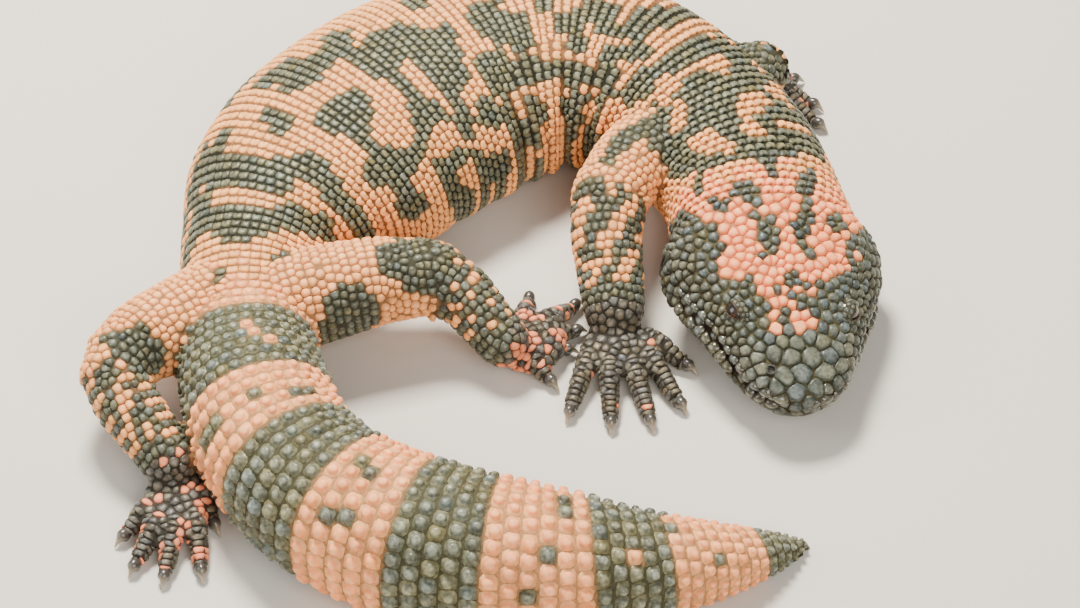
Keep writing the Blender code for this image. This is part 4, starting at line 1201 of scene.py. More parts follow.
def ball_at(middle: Points, radius: float, columns: int, rows: int) -> BMesh:
    """A ball round a place of the plan, in metres in the frame."""
    ball = bmesh.new()
    bmesh.ops.create_uvsphere(ball, u_segments=columns, v_segments=rows, radius=radius * MM)
    bmesh.ops.translate(ball, verts=ball.verts, vec=Vector(in_metres(middle)))
    return ball


def form_shell(form: Form, along: Points, columns: int, lift: float) -> BMesh:
    """A closed shell of a form, bent from a flat grid.

    Args:
        form: The form.
        along: Where its rings stand.
        columns: How many columns go round it.
        lift: How far the shell stands off the form, in millimetres.

    Returns:
        The shell in metres in the frame.
    """
    shell = bmesh.new()
    bmesh.ops.create_grid(shell, x_segments=columns, y_segments=len(along) - 1, size=0.5)
    flat = np.array([vert.co for vert in shell.verts])
    rows = np.rint((flat[:, 1] + 0.5) * (len(along) - 1)).astype(int)
    angles = (flat[:, 0] + 0.5) * 360.0 - 90.0
    bent = in_metres(form.points(along[rows], angles, np.full(len(rows), lift)))
    for vert, place in zip(shell.verts, bent):
        vert.co = place
    bmesh.ops.remove_doubles(shell, verts=shell.verts, dist=WELD)
    bmesh.ops.holes_fill(shell, edges=[edge for edge in shell.edges if edge.is_boundary], sides=0)
    bmesh.ops.recalc_face_normals(shell, faces=shell.faces)
    return shell


@dataclass
class Skin:
    """The one skin under beads, plates, lids and claws."""

    body: Body
    limbs: list[Limb]
    workshop: Workshop
    depth: float = 0.4
    voxel: float = 0.985
    relax: int = 3
    body_steps: Pair = (1.0, 0.6)
    body_columns: int = 240
    snout_reach: float = 8.0
    snout_rings: int = 28
    limb_grid: tuple[int, int] = (70, 48)
    palm_grid: tuple[int, int] = (40, 24)
    wrist_grid: tuple[int, int] = (32, 20)
    digit_grid: tuple[int, int] = (24, 24)
    # Where the mouth's line and the skin round the openings take painted shade, and that shade's colour
    lip_edge: float = 0.45
    lip_blend: Pair = (0.4, 0.9)
    hollow_blend: Pair = (1.0, 1.6)
    mouth_shade_tint: Triple = (0.03, 0.014, 0.012)

    def shells(self) -> list[BMesh]:
        """Closed shells of body, limbs, palms and digits, with a ball in each wrist or ankle."""
        joint, length = self.body.head_joint, self.body.length
        body_step, head_step = self.body_steps
        stations = np.concatenate([
            np.arange(0.0, joint, body_step),
            np.arange(joint, length - self.snout_reach, head_step),
            np.linspace(length - self.snout_reach, length, self.snout_rings),
        ])
        made = [form_shell(self.body, stations, self.body_columns, -self.depth)]
        for limb in self.limbs:
            rings, columns = self.limb_grid
            made.append(form_shell(limb, np.linspace(0.0, 2.0, rings), columns, -self.depth))
            made.append(self.palm_shell(limb))
            made.append(ball_at(limb.joints[2], limb.radii[-1] - self.depth, *self.wrist_grid))
            rings, columns = self.digit_grid
            for digit in limb.fingers():
                made.append(form_shell(digit, np.linspace(0.0, 1.0, rings), columns, -self.depth * 0.5))
        return made

    def palm_shell(self, limb: Limb) -> BMesh:
        """The flattened pad of a palm or sole."""
        pad = bmesh.new()
        columns, rows = self.palm_grid
        bmesh.ops.create_uvsphere(pad, u_segments=columns, v_segments=rows, radius=1.0)
        heading = math.radians(limb.palm[1])
        turn = np.array([[math.cos(heading), -math.sin(heading)], [math.sin(heading), math.cos(heading)]])
        middle = limb.palm_middle()
        for vert in pad.verts:
            spot = np.array(vert.co) * (np.array(limb.palm_half) - self.depth)
            spot[:2] = turn @ spot[:2]
            spot += middle
            spot[2] = max(spot[2], 0.0)
            vert.co = in_metres(spot)
        return pad

    def shape(self) -> None:
        """Joins the shells into one skin and smooths it."""
        rough = linked("rough_skin", joined_mesh(self.shells(), "rough_skin"))
        remesh = rough.modifiers.new("voxels", "REMESH")
        remesh.mode = "VOXEL"
        remesh.voxel_size = self.voxel * MM
        graph = bpy.context.evaluated_depsgraph_get()
        self.mesh = bpy.data.meshes.new_from_object(rough.evaluated_get(graph))
        bpy.data.objects.remove(rough)
        smooth = bmesh.new()
        smooth.from_mesh(self.mesh)
        for _ in range(self.relax):
            bmesh.ops.smooth_vert(
                smooth, verts=smooth.verts, factor=0.5, use_axis_x=True, use_axis_y=True, use_axis_z=True)
        for vert in smooth.verts:
            vert.co.z = max(vert.co.z, 0.0)
        smooth.to_mesh(self.mesh)
        smooth.free()
        self.mesh.name = "skin"
        count = len(self.mesh.vertices)
        places, normals = np.zeros(count * 3, np.float32), np.zeros(count * 3, np.float32)
        self.mesh.vertices.foreach_get("co", places)
        self.mesh.vertex_normals.foreach_get("vector", normals)
        self.places = in_plan(places.reshape(-1, 3))
        self.normals = normals.reshape(-1, 3).astype(float)
        faces = [tuple(face.vertices) for face in self.mesh.polygons]
        self.surface = BVHTree.FromPolygons(self.places.tolist(), faces)

    def build(self, beads: BeadSet, hollows: list[Points]) -> Object:
        """Tints the skin like its beads, paints shade in the mouth's line, and puts it in the scene.

        Args:
            beads: All the beads.
            hollows: Where eyes, nostrils and ear openings are; the skin round them gets painted shade.

        Returns:
            The skin.
        """
        tree = tree_of(beads.places)
        owner = np.array([[j for _, j, _ in tree.find_n(place, 2)] for place in self.places])
        inks = INK_TABLE[beads.zones, beads.tones][:, 3]
        tint = inks[owner].mean(axis=1)
        # Painted shade darkens the mouth's line and the skin round eyes, nostrils and ear openings
        lips = self.between_lips()
        for spot in hollows:
            lips = np.maximum(lips, 1 - ease(norm(self.places - spot, axis=1), *self.hollow_blend))
        paint(self.mesh, tint * (1 - lips[:, None]) + np.array(self.mouth_shade_tint) * lips[:, None])
        return finished_object("skin", self.mesh, self.workshop, SKIN)

    def between_lips(self) -> Points:
        """How far each point of the skin lies in the mouth's line, from 0 to 1, as its painted shade."""
        angles = np.concatenate([np.arange(-30.0, 60.0, 1.0), np.arange(120.0, 210.0, 1.0)])
        behind, angle = (a.ravel() for a in np.meshgrid(np.arange(0.0, self.body.mouth_corner, 0.4), angles))
        inside_lips = self.body.lip_closeness(behind, angle) > self.lip_edge
        spots = self.body.points(self.body.length - behind, angle, np.full(len(angle), -self.depth))
        tree = tree_of(spots[inside_lips])
        reach = np.array([tree.find(place)[2] for place in self.places])
        return 1 - ease(reach, *self.lip_blend)


@dataclass
class BeadCoat:
    """The beads and plates over the whole skin: in rings on tail, trunk and limbs, packed on the head.

    A clearing is a place and the radius round it that holds no bead. A row of pitches is the station, the
    spacing along and across it, and the beads' height; one of scute_rows is an angle and a stretch. Snout and
    middle line add the second and third of plate_sizes to the first.
    """

    body: Body
    limbs: list[Limb]
    markings: Markings
    workshop: Workshop
    skin: Skin
    clearings: list[tuple[Points, float]]
    seed: int = 4377
    pitches: tuple = (
        (0, 1.9, 1.9, 0.7), (14, 2.6, 2.7, 0.95), (35, 3.3, 3.6, 1.3), (60, 3.8, 4.1, 1.55),
        (110, 3.8, 4.1, 1.5), (150, 3.4, 3.6, 1.2), (175, 2.8, 3.0, 0.8), (200, 2.3, 2.5, 0.5),
        (300, 2.3, 2.5, 0.5), (350, 2.4, 2.6, 0.56), (380, 2.6, 2.7, 0.7), (405, 2.7, 2.8, 0.85),
    )
    first_ring: float = 1.4
    fewest: int = 6
    back_start: float = 178.0
    shoulder_start: float = 300.0
    trunk_ink_start: float = 182.0
    head_ink_room: float = 10.0
    tail_top_cut: float = 0.22
    tail_top: Pair = (0.35, 0.95)
    tail_fade: Pair = (170.0, 200.0)
    row_wander: float = 0.03
    side_wander: float = 0.07
    closeness: float = 0.68
    join_closeness: float = 0.55
    fill_closeness: float = 0.80
    fill_size: float = 2.1
    fill_most: Pair = (2.4, 0.62)
    fill_bend: float = 0.05
    fill_thinning: float = 0.88
    limb_start: float = 0.04
    limb_pitch: float = 2.3
    limb_ring_share: float = 0.95
    limb_height: float = 0.66
    limb_wander: Pair = (0.26, 0.005)
    foot_reach: float = 12.5
    foot_bead: Pair = (1.9, 0.48)
    scute_rows: tuple = ((90.0, 2.3), (-2.0, 2.0), (182.0, 2.0))
    scute_span: Pair = (0.22, 0.97)
    scute_pitch: float = 1.5
    scute_size: float = 1.75
    scute_height: float = 0.45
    scute_wander: Pair = (0.003, 2.0)
    flat_height: float = 0.36
    under_blend: Pair = (0.35, 0.8)
    bend_turn: float = 4.0
    most_bend: float = 0.5
    root_overlap: float = 0.9
    zone_wander: float = 5.0
    lip_row: float = 2.25
    lip_pitch: float = 2.55
    lip_size: float = 2.95
    lip_stretch: float = 0.85
    lip_clear: float = 3.0
    lip_scan: int = 500
    head_angles: Pair = (-62.0, 242.0)
    plate_draws: int = 60000
    plate_samples: int = 26000
    plate_rounds: int = 9
    plate_share: float = 1.1
    plate_height: float = 0.88
    plate_rise: float = 0.34
    plate_sizes: Triple = (2.5, 2.1, 0.25)
    snout_blend: Pair = (8.0, 20.0)
    tip_blend: Pair = (1.5, 5.0)
    middle_blend: Pair = (20.0, 50.0)
    snout_size: float = 3.1
    cheek_edge: float = 56.0
    cheek_wander: float = 6.0

    def __post_init__(self) -> None:
        """Starts the seeded draws."""
        self.rng = np.random.default_rng(self.seed)

    def set_of(
        self, form: Form, along: Points, angle: Points, sizes: Points, heights: Points, part: Part
    ) -> BeadSet:
        """Beads on a form, rooted at the coat's depth; the other values are filled in by the caller.

        Args:
            form: The form.
            along: Where along it each bead sits.
            angle: Where round it each bead sits.
            sizes: How wide each bead is.
            heights: How high each stands.
            part: The piece that they are made in.

        Returns:
            The beads.
        """
        count = len(along)
        places = form.points(along, angle, np.full(count, -self.skin.depth))
        normals, forwards = form.frames(along, angle)
        under = ease(-normals[:, 2], *self.under_blend)
        heights = heights * (1 - under) + self.flat_height * under
        ahead, back, flat = angle + self.bend_turn, angle - self.bend_turn, np.zeros(count)
        side = form.points(along, ahead, flat) - form.points(along, back, flat)
        turned = form.frames(along, ahead)[0] - form.frames(along, back)[0]
        bends = norm(turned, axis=1) / np.maximum(norm(side, axis=1), 0.05)
        return BeadSet(
            places, normals, forwards, sizes, heights, np.ones(count), np.clip(bends, 0.0, self.most_bend),
            np.zeros(count, int), np.zeros(count, int), np.full(count, part.value), np.zeros((count, 2)))

    def ring_angles(self, form: Form, along: float, row: int, pitch: float, wander: float) -> Points:
        """Where round a form the beads of a ring sit, staggered against the rings beside it.

        Args:
            form: The form.
            along: Where along it the ring stands.
            row: The ring's number.
            pitch: The beads' spacing, in millimetres.
            wander: How far they stray.

        Returns:
            The angle of each bead.
        """
        turn, run = form.girth(along)
        count = max(self.fewest, round(run[-1] / pitch))
        spots = (np.arange(count) + 0.5 * (row % 2)) / count * run[-1]
        return np.interp(spots + self.rng.normal(0, wander, count), run, turn)

    def body_rings(self) -> BeadSet:
        """Beads in staggered rings from the tail tip to the neck, every other ring last."""
        rows = []
        station, row = self.first_ring, 0
        while station < self.body.head_joint + 1.0:
            along, across, height = smooth_table(self.pitches, np.array([station]))[0]
            ring = self.ring_angles(self.body, station, row, across, self.side_wander * across)
            whole = np.ones(len(ring))
            places = station + self.rng.normal(0, self.row_wander * along, len(ring))
            # Rings whose number has more factors of two come first, and ring 0 before all of them
            order = whole * (-(row & -row) if row else -1024)
            rows.append(np.stack([places, ring, whole * (along + across) / 2, whole * height, order]))
            station += along
            row += 1
        table = np.concatenate(rows, axis=1)
        station, angle, sizes, heights = table[:4, np.argsort(table[4], kind="stable")]
        top = ease(np.sin(np.radians(angle)), *self.tail_top) * (1 - ease(station, *self.tail_fade))
        heights = heights * (1 - self.tail_top_cut * top)
        made = self.set_of(self.body, station, angle, sizes, heights, Part.TAIL)
        made.parts = np.where(station > self.back_start, Part.BACK.value, made.parts)
        made.parts = np.where(station > self.shoulder_start, Part.SHOULDER.value, made.parts)
        made.tones = self.markings.on_body(station, angle)
        strayed = station + self.rng.normal(0, self.zone_wander, len(station))
        zones = np.where(strayed < self.trunk_ink_start, Zone.TAIL.value, Zone.TRUNK.value)
        to_head = strayed > self.body.head_joint - self.head_ink_room
        made.zones = np.where(to_head, Zone.HEAD.value, zones)
        made.unwrap = unwrap_places(station / self.body.length, (angle + 90) / 360)
        return made

    def limb_rings(self, limb: Limb, part: Part) -> BeadSet:
        """Beads in staggered rings along a limb."""
        shares, angles = [], []
        lengths = [bone[0] for bone in limb.bones]
        share, row = self.limb_start, 0
        while share < 2.0:
            ring = self.ring_angles(limb, share, row, self.limb_pitch, self.limb_wander[0])
            angles.append(ring)
            shares.append(share + self.rng.normal(0, self.limb_wander[1], len(ring)))
            share += self.limb_pitch * self.limb_ring_share / lengths[0 if share < 1 else 1]
            row += 1
        share, angle = np.concatenate(shares), np.concatenate(angles)
        count = len(share)
        sizes = np.full(count, self.limb_pitch)
        made = self.set_of(limb, share, angle, sizes, np.full(count, self.limb_height), part)
        made.forwards = -made.forwards
        made.tones = self.markings.on_limb(limb, share, angle)
        made.zones = np.full(count, Zone.LIMB.value)
        made.unwrap = unwrap_places(share / 2, (angle + 90) / 360)
        return made

    def digit_scutes(self, limb: Limb) -> BeadSet:
        """Wide scutes over the top of each digit, with small ones at its sides."""
        sets = []
        for number, digit in enumerate(limb.fingers()):
            rows = max(4, round(digit.length * 0.8 / self.scute_pitch))
            sizes, heights = np.full(rows, self.scute_size), np.full(rows, self.scute_height)
            for angle, stretch in self.scute_rows:
                share = np.linspace(*self.scute_span, rows) + self.rng.normal(0, self.scute_wander[0], rows)
                turns = angle + self.rng.normal(0, self.scute_wander[1], rows)
                made = self.set_of(digit, share, turns, sizes, heights, Part.DIGITS)
                made.forwards = -made.forwards
                made.stretches = np.full(rows, stretch)
                # Each digit has a fifth of the unwrap's width
                across, up = 0.02 + 0.19 * (number + share), 0.02 + 0.9 * (turns + 30) / 260
                made.unwrap = np.stack([across, up], axis=1)
                sets.append(made)
        made = BeadSet.joined(sets)
        made.tones = self.markings.on_foot(limb, made.places)
        made.zones = np.full(len(made.tones), Zone.FOOT.value)
        return made

    def head_plates(self) -> BeadSet:
        """Plates packed over the head, larger on the snout, with the lips' rows."""
        lowest, highest = self.head_angles
        behind = self.rng.uniform(0.0, self.body.head_length, self.plate_draws)
        angle = self.rng.uniform(lowest, highest, self.plate_draws)
        weight = self.patch_area(self.body.length - behind, angle) / self.plate_size(behind, angle) ** 2
        weight = weight * (self.lip_offset(behind, angle) > self.lip_clear)
        chosen = self.rng.choice(self.plate_draws, self.plate_samples, p=weight / weight.sum())
        spots, turns = behind[chosen], angle[chosen]
        samples = self.head_spots(spots, turns)
        count = int(weight.mean() * self.body.head_length * (highest - lowest) * self.plate_share)
        at, round_it = spots[:count], turns[:count]
        for _ in range(self.plate_rounds):
            owner = nearest(self.head_spots(at, round_it), samples)
            share = np.bincount(owner, minlength=count)
            at = np.where(share > 0, np.bincount(owner, spots, count) / np.maximum(share, 1), at)
            round_it = np.where(share > 0, np.bincount(owner, turns, count) / np.maximum(share, 1), round_it)
        lip_at, lip_angle = self.lip_rows()
        at, round_it = np.concatenate([at, lip_at]), np.concatenate([round_it, lip_angle])
        size = self.plate_size(at, round_it)
        size[count:] = self.lip_size
        height = np.minimum(size * self.plate_rise, self.plate_height)
        station = self.body.length - at
        made = self.set_of(self.body, station, round_it, size, height, Part.HEAD)
        made.stretches[count:] = self.lip_stretch
        made.parts[size > self.snout_size] = Part.SNOUT.value
        made.parts[count:] = Part.LIPS.value
        made.tones = self.markings.on_body(np.maximum(station, self.body.head_joint + 0.01), round_it)
        low = np.abs(round_it - 90.0) + self.rng.normal(0, self.cheek_wander, len(at)) > self.cheek_edge
        made.zones = np.where(low, Zone.CHEEK.value, Zone.HEAD.value)
        made.unwrap = unwrap_places(at / 53.0, (round_it + 70) / 320)
        return made

    def head_spots(self, behind: Points, angle: Points) -> Points:
        """Points of the head's surface at distances behind the snout and angles."""
        return self.body.points(self.body.length - behind, angle, np.zeros(len(behind)))

    def lip_offset(self, behind: Points, angle: Points) -> Points:
        """How far above or below the mouth's line a place on the head lies, in millimetres."""
        _, up = self.body.head_section(behind, angle, np.zeros(len(behind)))
        reach = np.abs(up - self.body.mouth_line(behind))
        return np.where(behind < self.body.mouth_corner - 1.0, reach, 9.0)

    def lip_rows(self) -> tuple[Points, Points]:
        """Where the scales of the upper and the lower lips sit."""
        behind, angles = [], []
        for offset, start in ((self.lip_row, 0.9), (-self.lip_row, 2.0)):
            for first, last in ((-80.0, 88.0), (260.0, 92.0)):
                scan = np.linspace(first, last, self.lip_scan)
                for at in np.arange(start, self.body.mouth_corner - 2.0, self.lip_pitch):
                    _, up = self.body.head_section(np.full(len(scan), at), scan, np.zeros(len(scan)))
                    hit = np.abs(up - self.body.mouth_line(at) - offset).argmin()
                    behind.append(at)
                    angles.append(scan[hit])
        return np.array(behind), np.array(angles)

    def plate_size(self, behind: Points, angle: Points) -> Points:
        """How wide a plate is at a place on the head."""
        off_middle = np.abs(angle - 90.0)
        snout = 1 - ease(behind, *self.snout_blend)
        crown = np.maximum(np.clip(1 - off_middle / 130.0, 0.15, 1.0), 1 - ease(behind, *self.tip_blend))
        least, snout_more, middle_more = self.plate_sizes
        return least + snout_more * snout * crown + middle_more * (1 - ease(off_middle, *self.middle_blend))

    def patch_area(self, station: Points, angle: Points) -> Points:
        """Square millimetres of skin for each millimetre of station and degree of angle."""
        flat, step, turn = np.zeros(len(station)), 0.25, 1.0
        station = np.clip(station, 0.0, self.body.length - 0.3)
        ahead = self.body.points(station + step, angle, flat) - self.body.points(station - step, angle, flat)
        aside = self.body.points(station, angle + turn, flat) - self.body.points(station, angle - turn, flat)
        return norm(np.cross(ahead / (2 * step), aside / (2 * turn)), axis=1)

    def outside_limbs(self, beads: BeadSet) -> Points:
        """Which of the body's beads aren't where a limb grows out."""
        clear = np.ones(len(beads.places), bool)
        for limb in self.limbs:
            for share in np.linspace(0.05, 1.95, 60):
                centre = limb.path(np.array([share]))[0]
                radius = smooth_table(limb.stops, [share])[0, 0]
                clear &= norm(beads.places - centre, axis=1) > radius - self.root_overlap
        return clear

    def covered(self, places: Points) -> Points:
        """Which places aren't in an eye, a nostril or an ear opening."""
        clear = np.ones(len(places), bool)
        for spot, radius in self.clearings:
            clear &= norm(places - spot, axis=1) > radius
        return clear

    def seated(self, beads: BeadSet, reach: float = 1.7) -> BeadSet:
        """Moves beads onto the smoothed skin and drops those that are far from it.

        Args:
            beads: The beads.
            reach: How far a bead may be from the skin, in millimetres.

        Returns:
            The beads that have a seat.
        """
        seat = np.ones(len(beads.places), bool)
        for i, place in enumerate(beads.places):
            hit, normal, _, _ = self.skin.surface.find_nearest(Vector(place), reach)
            if hit is None:
                seat[i] = False
                continue
            beads.places[i] = hit
            beads.normals[i] = unit(beads.normals[i] * 0.5 + np.array(normal) * 0.5)
        beads.forwards = laid_flat(beads.forwards, beads.normals)
        return beads.keep(seat)

    def filled(self, beads: BeadSet) -> BeadSet:
        """Adds beads wherever the skin would show between those of the rings.

        Args:
            beads: The beads so far.

        Returns:
            These and the added ones.
        """
        tree = tree_of(beads.places)
        open_spots, owners = [], []
        may_fill = self.covered(self.skin.places) & (self.skin.places[:, 2] > 0.3)
        for i in self.rng.permutation(np.flatnonzero(may_fill)):
            _, owner, reach = tree.find(self.skin.places[i])
            if reach > self.fill_closeness * max(beads.sizes[owner], self.fill_size):
                open_spots.append(i)
                owners.append(owner)
        places, normals = self.skin.places[open_spots], self.skin.normals[open_spots]
        added = beads.keep(np.array(owners))
        offset = places - added.places
        sides = unit(np.cross(added.normals, added.forwards))
        moved = np.stack([np.sum(offset * added.forwards, axis=1), np.sum(offset * sides, axis=1)], axis=1)
        added.unwrap = np.clip(added.unwrap + moved * UNWRAP_PATCH, 0.005, 0.995)
        added.places, added.normals = places, normals
        most_size, most_height = self.fill_most
        added.sizes = np.minimum(added.sizes, most_size)
        added.heights = np.minimum(added.heights, most_height)
        added.stretches = np.ones(len(places))
        added.bends = np.full(len(places), self.fill_bend)
        added.parts = np.where(added.parts == Part.DIGITS.value, Part.FEET.value, added.parts)
        for limb in self.limbs:
            near = norm(places - limb.palm_middle(), axis=1) < self.foot_reach
            added.sizes[near], added.heights[near] = self.foot_bead
            added.zones[near] = Zone.FOOT.value
            added.parts[near] = Part.FEET.value
            added.tones[near] = self.markings.on_foot(limb, places[near])
        added.forwards = laid_flat(added.forwards, added.normals)
        return BeadSet.joined([beads, thinned(added, self.fill_thinning)])

    def gathered(self) -> BeadSet:
        """All the beads of the animal, seated on the skin."""
        rings = self.body_rings()
        rings = thinned(rings.keep(self.outside_limbs(rings)), self.closeness)
        sets = [self.seated(rings), self.head_plates()]
        for limb, part in zip(self.limbs, LIMB_PARTS):
            sets.append(thinned(self.seated(self.limb_rings(limb, part)), self.closeness))
            sets.append(self.seated(self.digit_scutes(limb)))
        joined = thinned(BeadSet.joined(sets), self.join_closeness)
        return self.filled(joined.keep(self.covered(joined.places)))

    def build(self, beads: BeadSet) -> None:
        """Makes each part's rose and dark beads as two pieces.

        Args:
            beads: All the beads.
        """
        for part in Part:
            profile = PROFILES.get(part, TRUNK_BEAD)
            mine = beads.parts == part.value
            outline = bead_outlines(beads, profile)
            dark = LIP_BEADS if part is Part.LIPS else DARK_BEADS
            for tone, finish in ((Tone.ROSE, ROSE_BEADS), (Tone.DARK, dark)):
                chosen = mine & (beads.tones == tone.value)
                if not chosen.any():
                    continue
                name = f"{part.name.lower()}_{tone.name.lower()}_beads"
                mesh = bead_mesh(name, beads.keep(chosen), outline[chosen], profile, self.rng)
                finished_object(name, mesh, self.workshop, finish)


def laid_flat(directions: Points, normals: Points) -> Points:
    """Directions turned to lie square to the normals."""
    return unit(directions - normals * np.sum(directions * normals, axis=1, keepdims=True))


def unwrap_places(across: Points, up: Points) -> Points:
    """Places in a piece's unwrap, from shares of its width and height inside a narrow edge."""
    return np.stack([0.02 + 0.96 * across, 0.02 + 0.96 * up], axis=1)


def nearest(centres: Points, samples: Points) -> Points:
    """The nearest centre of each sample."""
    tree = tree_of(centres)
    return np.array([tree.find(sample)[1] for sample in samples])


@dataclass
class Claws:
    """The curved claws at the ends of the digits, dark with pale tips.

    A row of girth is a share of the claw's length and half its height there.
    """

    limbs: list[Limb]
    workshop: Workshop
    gap: float = 0.05
    length: float = 4.1
    girth: tuple = (
        (0.0, 1.50), (0.18, 1.76), (0.38, 1.66), (0.54, 1.10), (0.68, 0.62), (0.84, 0.38), (0.95, 0.20),
        (1.0, 0.10),
    )
    slimness: float = 0.88
    horn_tint: Triple = (0.05, 0.045, 0.038)
    tip_tint: Triple = (0.42, 0.33, 0.22)
    tip_blend: Pair = (0.45, 0.95)
    tip_height: float = 0.35
    arch: float = 0.75
    rings: int = 16
    sides: int = 14

    def build(self) -> None:
        """Makes the five claws of each foot as one piece that replaces their solids."""
        for limb in self.limbs:
            name = limb.nodes[2]
            mesh = joined_mesh([self.claw(digit) for digit in limb.fingers()], f"{name}_claws")
            spots = in_plan(np.array([vert.co for vert in mesh.vertices]))
            ends = np.array([digit.centres(np.array([1.0]))[0] for digit in limb.fingers()])
            reach = norm(spots[:, None, :2] - ends[None, :, :2], axis=2).min(axis=1) / self.length
            pale = ease(reach, *self.tip_blend)[:, None]
            paint(mesh, np.array(self.horn_tint) * (1 - pale) + np.array(self.tip_tint) * pale)
            piece = finished_object(mesh.name, mesh, self.workshop, HORN)
            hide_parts(*(f"{name}_claw_{number}" for number in range(1, 6)))

    def claw(self, digit: Digit) -> BMesh:
        """One claw, from a circle that is extruded along its arch."""
        ends = digit.centres(np.array([0.98, 1.0]))
        outward = direction(digit.heading, 0)
        facing = unit(ends[1] - ends[0])
        build = bmesh.new()
        start = bmesh.ops.create_circle(build, cap_ends=True, segments=self.sides, radius=1.0)
        rim = list(build.edges)
        rings = [start["verts"]]
        for _ in range(self.rings):
            out = bmesh.ops.extrude_edge_only(build, edges=rim)
            rings.append([item for item in out["geom"] if isinstance(item, BMVert)])
            rim = [item for item in out["geom"] if isinstance(item, BMEdge) and item.is_boundary]
        unit_ring = [np.array(vert.co) for vert in rings[0]]
        for index, ring in enumerate(rings):
            share = index / self.rings
            spot = ends[1] + facing * self.gap + outward * self.length * share
            drop = self.tip_height - spot[2]
            spot[2] += drop * share**2 + self.arch * math.sin(math.pi * share)
            climb = drop * 2 * share + self.arch * math.pi * math.cos(math.pi * share)
            slope = math.atan2(climb, self.length)
            forward = outward * math.cos(slope) + np.array([0, 0, math.sin(slope)])
            side, up = across_axes(unit(forward))
            radius = smooth_table(self.girth, [share])[0, 0]
            for vert, flat in zip(ring, unit_ring):
                vert.co = in_metres(spot + side * flat[0] * radius * self.slimness + up * flat[1] * radius)
        bmesh.ops.holes_fill(build, edges=[edge for edge in build.edges if edge.is_boundary], sides=0)
        bmesh.ops.recalc_face_normals(build, faces=build.faces)
        for vert in build.verts:
            vert.co.z = max(vert.co.z, 0.0)
        return build


